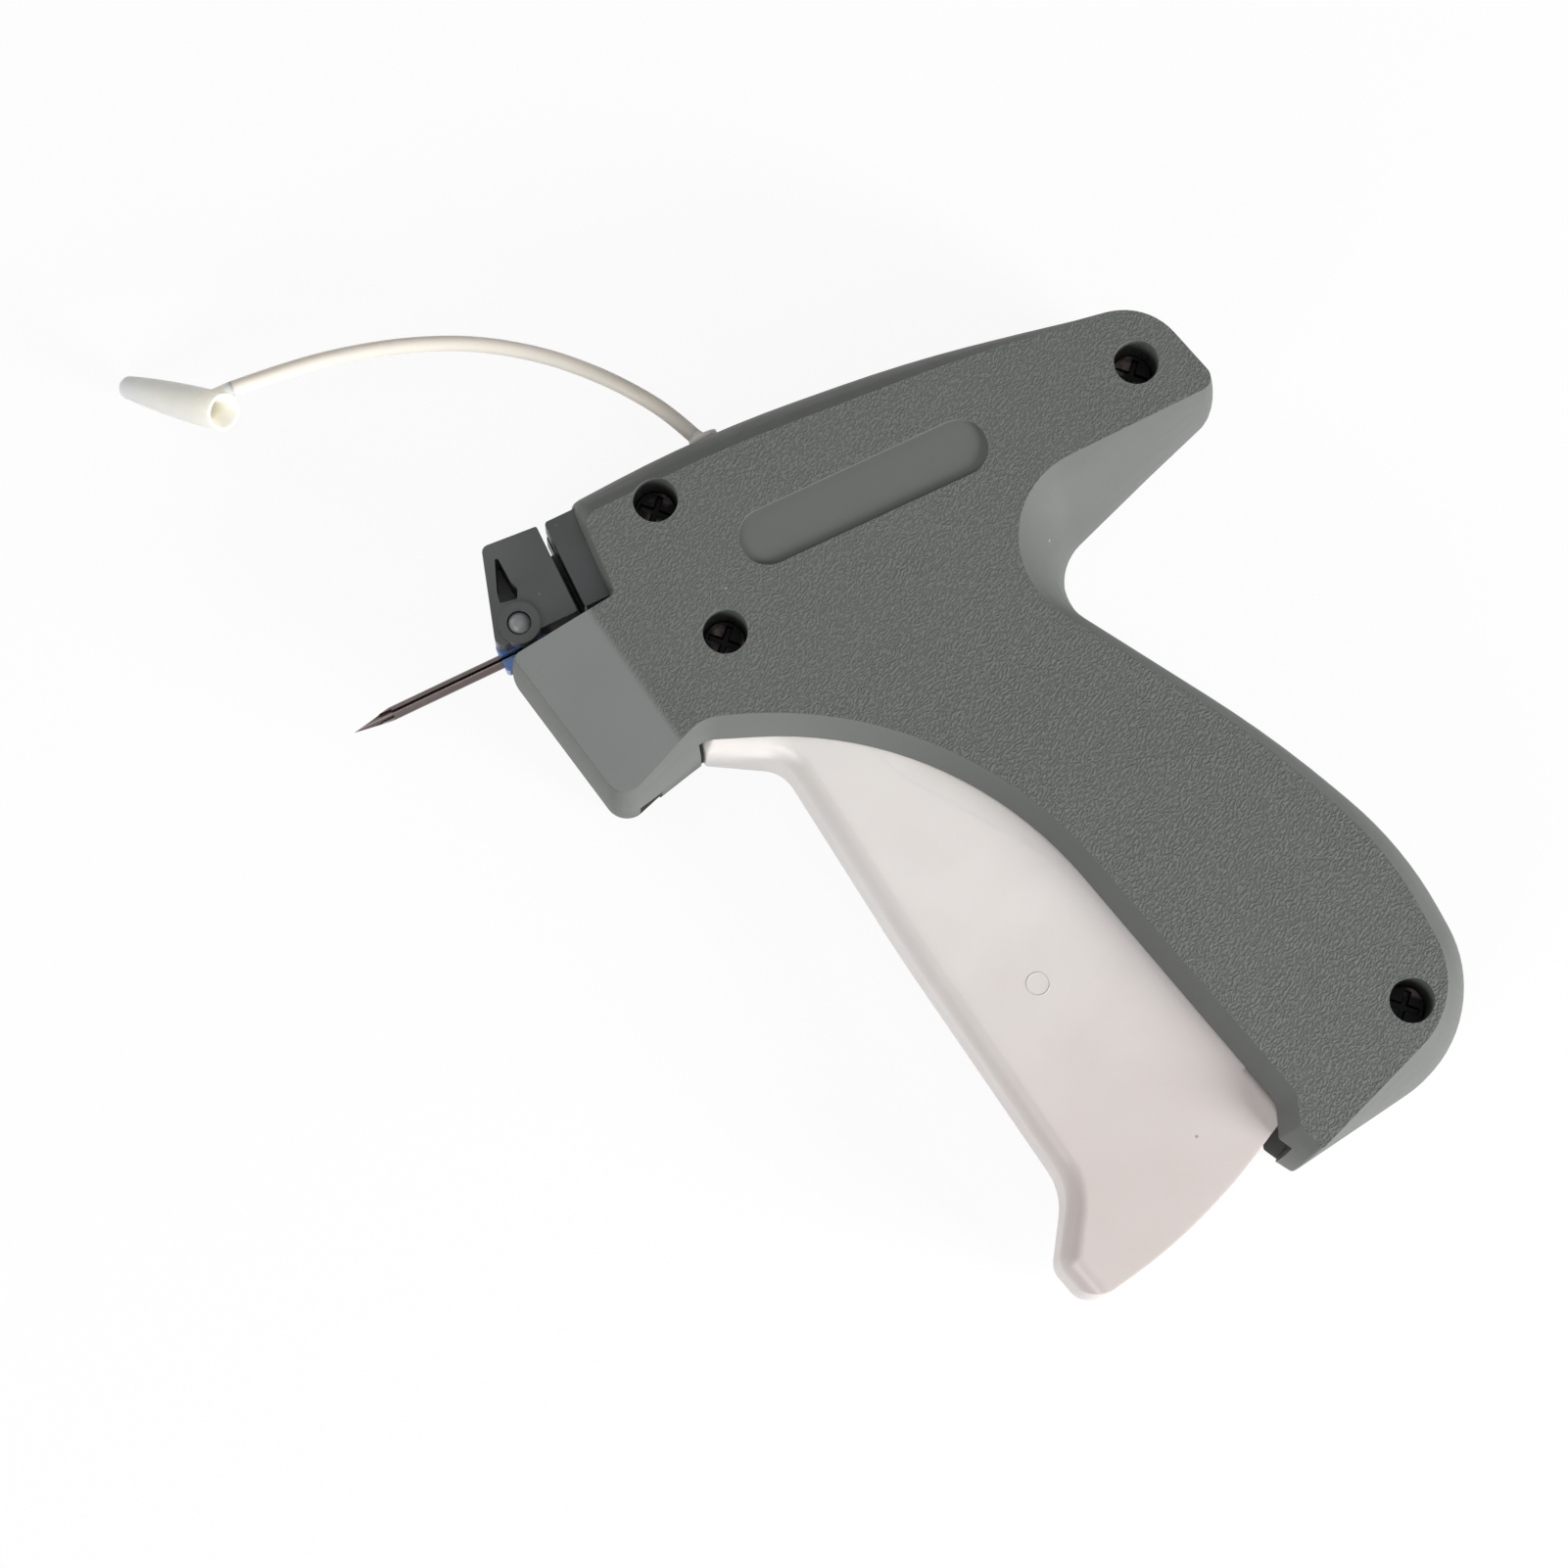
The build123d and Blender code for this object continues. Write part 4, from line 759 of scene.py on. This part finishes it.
@dataclass(frozen=True)
class SmoothCopy:
    """Finer copy of a solid: same form, merged points, softened edges and even shading."""

    node: str
    name: str
    edge: float = 0.12 * MM
    crease: float = 28.0
    flat_within: float = 0.4
    segments: int = 2
    face_weight: int = 80

    def build(self, frame: Mapping[str, Any], material: bpy.types.Material, slot: str) -> bpy.types.Object:
        """Copies the solid, merges it, adds the bevel and hides the original.

        Args:
            frame: the loaded frame.
            material: finish of the copy.
            slot: material slot of the record; not used.

        Returns:
            The copy.
        """
        source = frame["nodes"][self.node]
        mesh = source.data.copy()
        mesh.name = self.name
        work = bmesh.new()
        work.from_mesh(mesh)
        bmesh.ops.remove_doubles(work, verts=work.verts, dist=COPY_MERGE)
        flat = math.radians(self.flat_within)
        bmesh.ops.dissolve_limit(work, angle_limit=flat, verts=work.verts, edges=work.edges, delimit=set())
        for face in work.faces:
            face.smooth = True
        limit = math.radians(self.crease)
        for edge in work.edges:
            edge.smooth = not (len(edge.link_faces) == 2 and edge.calc_face_angle(0.0) > limit)
        work.to_mesh(mesh)
        work.free()
        mesh.materials.clear()
        mesh.materials.append(material)
        copy = bpy.data.objects.new(self.name, mesh)
        bpy.context.scene.collection.objects.link(copy)
        if self.edge:
            bevel = copy.modifiers.new("soft_edges", "BEVEL")
            bevel.width = self.edge
            bevel.segments = self.segments
            bevel.limit_method = "ANGLE"
            bevel.angle_limit = limit
            bevel.use_clamp_overlap = True
            bevel.harden_normals = False
        weighted = copy.modifiers.new("even_shading", "WEIGHTED_NORMAL")
        weighted.keep_sharp = not self.edge
        weighted.weight = self.face_weight
        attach(copy, source["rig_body"])
        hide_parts(self.node)
        LOG.info("smoothed %s as %s", self.node, self.name)
        return copy


# ---------------------------------------------------------------- sub-assemblies
@dataclass
class Housing:
    """Both shells of the housing and their screws."""

    edge: float = 0.16 * MM
    screw_edge: float = 0.10 * MM

    def build(self, frame: Mapping[str, Any]) -> None:
        """Smooths and dresses the shells and the screws.

        Args:
            frame: the loaded frame.
        """
        for side, node in ((Side.LEFT, "left_shell"), (Side.RIGHT, "right_shell")):
            finish = GrainedHousing(side).material()
            SmoothCopy(node, f"{node}_moulded", self.edge).build(frame, finish, "housing_grey")
        # The screws get a near-black tone, which keeps the deep screw holes dark.
        near_black_finish = DrawnSteel("screw_near_black_steel", Tone.NEAR_BLACK, (1.0, 1.0, 0.3), 0.42).material()
        screws = SmoothCopy("housing_screws", "screws_cross_head", self.screw_edge)
        screws.build(frame, near_black_finish, "screw_steel")


@dataclass
class FeedHead:
    """Front plate, feed block, needle lock, needle, its base and the cutter."""

    plate_edge: float = 0.16 * MM

    def build(self, frame: Mapping[str, Any]) -> None:
        """Smooths and dresses the pieces of the head.

        Args:
            frame: the loaded frame.
        """
        head = SatinPlastic("head_grey_plastic", Tone.HEAD, Tone.BLOCK, 0.40).material()
        block = SatinPlastic("block_dark_plastic", Tone.BLOCK, Tone.HEAD, 0.36).material()
        cloudy = SatinPlastic("lock_cloudy_plastic", Tone.CLOUDY, Tone.HEAD, 0.28, subsurface=0.4).material()
        blue = SatinPlastic("base_blue_plastic", Tone.BLUE, Tone.BLUE, 0.30, coat=0.3).material()
        steel = DrawnSteel("needle_polished_steel", Tone.NEEDLE, (0.04, 1.0, 1.0), 0.18).material()
        for node, name, finish, slot in (
            ("front_plate", "head_front_plate", head, "head_plastic"),
            ("feed_block", "head_feed_block", block, "block_plastic"),
            ("needle_lock", "needle_lock_lever", cloudy, "lock_plastic"),
            ("needle_base", "needle_blue_base", blue, "blue_plastic"),
        ):
            SmoothCopy(node, name, self.plate_edge).build(frame, finish, slot)
        for node, name in (("needle", "needle_hollow"), ("cutter_blade", "cutter_ground_blade")):
            SmoothCopy(node, name, 0.0, crease=24.0).build(frame, steel, "needle_steel")


@dataclass
class Trigger:
    """Moulded trigger with square back edges on its cheeks and the ring that its ejector pin left."""

    edge: float = 0.20 * MM
    crease: float = 24.0
    middle_z: float = 13.0 * MM
    back: tuple[tuple[float, float, float], ...] = (
        (7.6 * MM, -4.0 * MM, 0.0), (15.4 * MM, -25.2 * MM, 20.0 * MM),
        (29.8 * MM, -45.0 * MM, 40.0 * MM), (37.8 * MM, -79.6 * MM, 0.0),
    )
    cheek: tuple[tuple[float, float], ...] = (
        (-0.85 * MM, 6.25 * MM), (-0.85 * MM, 8.24 * MM), (-0.80 * MM, 8.36 * MM), (-0.68 * MM, 8.402 * MM),
        (3.05 * MM, 8.402 * MM), (3.05 * MM, 7.80 * MM), (1.20 * MM, 7.00 * MM), (0.60 * MM, 6.25 * MM),
    )
    ring_centre: Point = (16.6 * MM, -58.6 * MM, 21.4 * MM)
    ring_radius: float = 1.5 * MM
    ring_wire: float = 0.07 * MM
    ring_steps: int = 72
    wire_steps: int = 10
    sharp_from: float = 30.0

    def build(self, frame: Mapping[str, Any]) -> None:
        """Smooths and dresses the trigger, squares its back edges and adds the ring.

        Args:
            frame: the loaded frame.
        """
        cream = TriggerCream().material()
        moulded = SmoothCopy("trigger", "trigger_moulded", self.edge, crease=self.crease)
        moulded.build(frame, cream, "trigger_plastic")
        for side in Side:
            self.cheek_edge(side, cream)
        self.ejector_ring(cream)

    def cheek_edge(self, side: Side, finish: bpy.types.Material) -> None:
        """Square edge: a profile carried along the back line.

        The profile gives the distance from that line and the height over the middle. A point lies
        at line + inward * distance, where inward is the line's direction turned by a right angle
        towards the front of the trigger.

        Args:
            side: cheek that the edge belongs to.
            finish: plastic of the trigger.
        """
        line = rounded_line(self.back)
        along = np.gradient(line, axis=0)
        along /= np.linalg.norm(along, axis=1, keepdims=True)
        inward = np.stack([along[:, 1], -along[:, 0]], axis=1)
        profile = np.array(self.cheek)
        flat = line[:, None, :] + inward[:, None, :] * profile[None, :, :1]
        height = np.broadcast_to(self.middle_z + side.value * profile[:, 1], flat.shape[:2])
        points = np.concatenate([flat, height[..., None]], axis=-1).reshape(-1, 3)
        rows, columns = flat.shape[:2]
        ends = [tuple(range(columns)), tuple(range((rows - 1) * columns, rows * columns))]
        name = f"trigger_cheek_edge_{side.name.lower()}"
        piece = mesh_object(name, points, [*grid_faces(rows, columns), *ends])
        tidy(piece)
        piece.data.set_sharp_from_angle(angle=math.radians(self.sharp_from))
        piece.data.materials.append(finish)
        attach(piece, "trigger")

    def ejector_ring(self, finish: bpy.types.Material) -> None:
        """Fine raised ring: a small circle carried round a larger one, half sunk in the side.

        Args:
            finish: plastic of the trigger.
        """
        around = np.linspace(0.0, 2.0 * np.pi, self.ring_steps, endpoint=False)
        across = np.linspace(0.0, 2.0 * np.pi, self.wire_steps, endpoint=False)
        u, v = np.meshgrid(around, across, indexing="ij")
        reach = self.ring_radius + self.ring_wire * np.cos(v)
        points = np.stack([reach * np.cos(u), reach * np.sin(u), self.ring_wire * np.sin(v)], axis=-1)
        points = points.reshape(-1, 3) + np.array(self.ring_centre)
        quads = grid_faces(self.ring_steps, self.wire_steps, wrap_rows=True)
        ring = mesh_object("trigger_ejector_ring", points, quads)
        tidy(ring)
        ring.data.materials.append(finish)
        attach(ring, "trigger")


@dataclass
class Mechanism:
    """Lever, slider, spring and feed train inside the housing."""

    edge: float = 0.10 * MM
    spring_start: Point = (25.46 * MM, -45.00 * MM, 13.0 * MM)
    spring_lean: float = math.radians(29.5)
    spring_length: float = 25.0 * MM
    spring_turns: int = 5
    coil: float = 3.4 * MM
    wire: float = 0.45 * MM
    closed_ends: float = 0.55
    turn_steps: int = 40
    wire_sides: int = 14
    pins: tuple[str, ...] = (
        "lever_pivot_pin", "lever_link_pin", "slider_drive_pin", "feed_wheel_axle", "rocker_pin",
    )

    def build(self, frame: Mapping[str, Any]) -> None:
        """Smooths and dresses the inner pieces and winds the spring.

        Args:
            frame: the loaded frame.
        """
        acetal = SatinPlastic("acetal_natural", Tone.ACETAL, Tone.CREAM, 0.38, subsurface=0.15).material()
        pin = DrawnSteel("pin_bright_steel", Tone.STEEL, (1.0, 1.0, 0.05), 0.22).material()
        wire = DrawnSteel("spring_oiled_wire", Tone.WIRE, (0.5, 0.5, 0.5), 0.30).material()
        for node in ("drive_lever", "slider", "feed_wheel", "feed_rocker"):
            SmoothCopy(node, f"{node}_acetal", self.edge).build(frame, acetal, "acetal")
        for node in self.pins:
            SmoothCopy(node, f"{node}_steel", self.edge).build(frame, pin, "pin_steel")
        SmoothCopy("push_rod", "push_rod_steel", self.edge / 2).build(frame, pin, "needle_steel")
        for node in ("feed_pawl", "holding_pawl"):
            SmoothCopy(node, f"{node}_spring", 0.0).build(frame, wire, "spring_steel")
        self.spring(wire)

    def spring(self, finish: bpy.types.Material) -> None:
        """Round wire wound on a cylinder, its end turns closer than the middle ones.

        With t from 0 to 1 the centre line is at the angle 2 pi turns t, and the height
        free * (t - ends * sin(2 pi t) / (2 pi)) along the spring.

        Args:
            finish: spring steel.
        """
        along = np.array((math.cos(self.spring_lean), math.sin(self.spring_lean), 0.0))
        first = np.array((0.0, 0.0, 1.0))
        second = np.cross(along, first)
        t = np.linspace(0.0, 1.0, self.spring_turns * self.turn_steps + 1)
        angle = 2.0 * np.pi * self.spring_turns * t
        free = self.spring_length - 2 * self.wire
        height = self.wire + free * (t - self.closed_ends * np.sin(2.0 * np.pi * t) / (2.0 * np.pi))
        line = (
            np.array(self.spring_start) + height[:, None] * along
            + self.coil * (np.cos(angle)[:, None] * first + np.sin(angle)[:, None] * second)
        )
        piece = mesh_object("return_spring_wound", *carried_ring(line, self.wire, self.wire_sides))
        tidy(piece)
        piece.data.materials.append(finish)
        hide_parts("return_spring")
        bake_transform(piece)


@dataclass
class Tether:
    """Strap, its anchor and the cap of the needle."""

    diameter: float = 2.1 * MM
    length: float = 64.9 * MM
    route: tuple[Point, ...] = (
        (0.0089, 0.0277, 0.0130), (0.0074, 0.0314, 0.0130), (0.0050, 0.0354, 0.0132),
        (0.0014, 0.0402, 0.0134), (-0.0042, 0.0459, 0.0139), (-0.0118, 0.0512, 0.0147),
        (-0.0204, 0.0549, 0.0154), (-0.0294, 0.0573, 0.0161), (-0.0373, 0.0585, 0.0165),
        (-0.0436, 0.0591, 0.0166),
    )
    round_steps: int = 8
    route_steps: int = 14
    anchor_edge: float = 0.15 * MM
    cap_edge: float = 0.10 * MM

    def build(self, frame: Mapping[str, Any]) -> None:
        """Builds the strap and dresses its anchor and the cap.

        Args:
            frame: the loaded frame.
        """
        soft = SatinPlastic(
            "strap_soft_plastic", Tone.STRAP, Tone.CREAM, 0.46, subsurface=0.6, reach=1.5 * MM).material()
        moulded = SatinPlastic(
            "cap_soft_plastic", Tone.CAP, Tone.STRAP, 0.40, subsurface=0.9, reach=2.5 * MM).material()
        SmoothCopy("tether_anchor", "strap_anchor", self.anchor_edge).build(frame, soft, "strap_plastic")
        cap = SmoothCopy("needle_cap", "needle_cap_moulded", self.cap_edge, crease=30.0)
        self.strap(soft, cap.build(frame, moulded, "cap_plastic"))

    def strap(self, finish: bpy.types.Material, cap: bpy.types.Object) -> None:
        """Round strap: a circle carried along a quadratic spline over the route's points.

        Args:
            finish: soft plastic.
            cap: piece on its far end; not used.
        """
        curve = bpy.data.curves.new("strap_round", "CURVE")
        curve.dimensions = "3D"
        curve.bevel_depth = self.diameter / 2
        curve.bevel_resolution = self.round_steps
        curve.resolution_u = self.route_steps
        curve.use_fill_caps = True
        spline = curve.splines.new("NURBS")
        spline.points.add(len(self.route) - 1)
        for target, point in zip(spline.points, self.route):
            target.co = (*point, 1.0)
        spline.order_u = 3
        spline.use_endpoint_u = True
        piece = bpy.data.objects.new("strap_round", curve)
        bpy.context.scene.collection.objects.link(piece)
        curve.materials.append(finish)
        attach(piece, "housing")
        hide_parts("tether_strap")
        LOG.info("strap of %.1f mm", self.length / MM)


# ---------------------------------------------------------------- stage
@dataclass
class Studio:
    """Floor, lamps, world and camera."""

    floor_size: float = 6.0
    floor_height: float = -0.02 * MM
    square: tuple[Span, ...] = ((-1, -1), (1, -1), (1, 1), (-1, 1))
    camera_place: Point = (-0.05693, -0.10292, 0.676)
    right: Point = (0.8985, -0.4384, 0.0210)
    up: Point = (0.4308, 0.8902, 0.1482)
    back: Point = (-0.0837, -0.1241, 0.9887)
    focal_pixels: float = 5200.0
    frame_pixels: float = 1601.0
    sensor: float = 36.0
    clip: Span = (0.05, 20.0)
    sky: float = 0.17
    middle: Point = (0.010, -0.035, 0.012)
    lights: tuple[tuple[str, Point, float, float], ...] = (
        ("grip_side", (0.56, -0.78, 0.36), 0.40, 13.4),
        ("needle_side", (-0.62, -0.40, 0.50), 0.45, 3.3),
        ("overhead", (0.05, -0.12, 0.95), 0.60, 1.3),
        ("strap_side", (-0.55, 0.60, 0.35), 0.40, 1.1),
    )

    def build(self) -> None:
        """Builds the stage."""
        self.floor()
        self.world()
        self.lamps()
        self.camera()

    def floor(self) -> None:
        """One large pale plane under the tool."""
        half = self.floor_size / 2
        corners = np.array([(half * i, half * j, self.floor_height) for i, j in self.square])
        floor = mesh_object("pale_floor", corners, [(0, 1, 2, 3)])
        floor.data.materials.append(PaleBackdrop().material())

    def world(self) -> None:
        """Even soft sky: white where it is seen or mirrored, dimmer as a light."""
        world = bpy.data.worlds.new("soft_sky")
        bpy.context.scene.world = world
        world.use_nodes = True
        tree = world.node_tree
        tree.nodes.clear()
        rays = tree.nodes.new("ShaderNodeLightPath")
        seen: Any = rays.outputs["Is Camera Ray"]
        for kind in ("Glossy", "Transmission"):
            either = tree.nodes.new("ShaderNodeMath")
            either.operation = "MAXIMUM"
            tree.links.new(seen, either.inputs[0])
            tree.links.new(rays.outputs[f"Is {kind} Ray"], either.inputs[1])
            seen = either.outputs[0]
        mix = tree.nodes.new("ShaderNodeMixShader")
        out = tree.nodes.new("ShaderNodeOutputWorld")
        tree.links.new(seen, mix.inputs[0])
        for place, strength in ((1, self.sky), (2, 1.0)):
            light = tree.nodes.new("ShaderNodeBackground")
            light.inputs["Color"].default_value = (1.0, 1.0, 1.0, 1.0)
            light.inputs["Strength"].default_value = strength
            tree.links.new(light.outputs[0], mix.inputs[place])
        tree.links.new(mix.outputs[0], out.inputs[0])

    def lamps(self) -> None:
        """Large soft lamps, all aimed at the middle of the tool."""
        for name, place, size, power in self.lights:
            data = bpy.data.lights.new(name, "AREA")
            data.shape = "DISK"
            data.size = size
            data.energy = power
            lamp = bpy.data.objects.new(name, data)
            bpy.context.scene.collection.objects.link(lamp)
            lamp.location = place
            aim = Vector(self.middle) - Vector(place)
            lamp.rotation_euler = aim.to_track_quat("-Z", "Y").to_euler()

    def camera(self) -> None:
        """Long lens over the tool, turned so that the barrel rises to the right."""
        data = bpy.data.cameras.new("view")
        data.sensor_fit = "HORIZONTAL"
        data.sensor_width = self.sensor
        data.lens = self.focal_pixels / self.frame_pixels * self.sensor
        data.clip_start, data.clip_end = self.clip
        camera = bpy.data.objects.new("view", data)
        bpy.context.scene.collection.objects.link(camera)
        turn = Matrix((self.right, self.up, self.back)).transposed().to_4x4()
        camera.matrix_world = Matrix.Translation(self.camera_place) @ turn
        bpy.context.scene.camera = camera


def main() -> None:
    """Builds the looks in order."""
    logging.basicConfig(level=logging.INFO, format="%(name)s: %(message)s")
    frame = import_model()
    scene = bpy.context.scene
    scene.view_settings.view_transform = "Standard"
    Studio().build()
    Tether().build(frame)
    Housing().build(frame)
    FeedHead().build(frame)
    Trigger().build(frame)
    Mechanism().build(frame)
    LOG.info("all pieces are dressed")


if __name__ == "__main__":
    main()
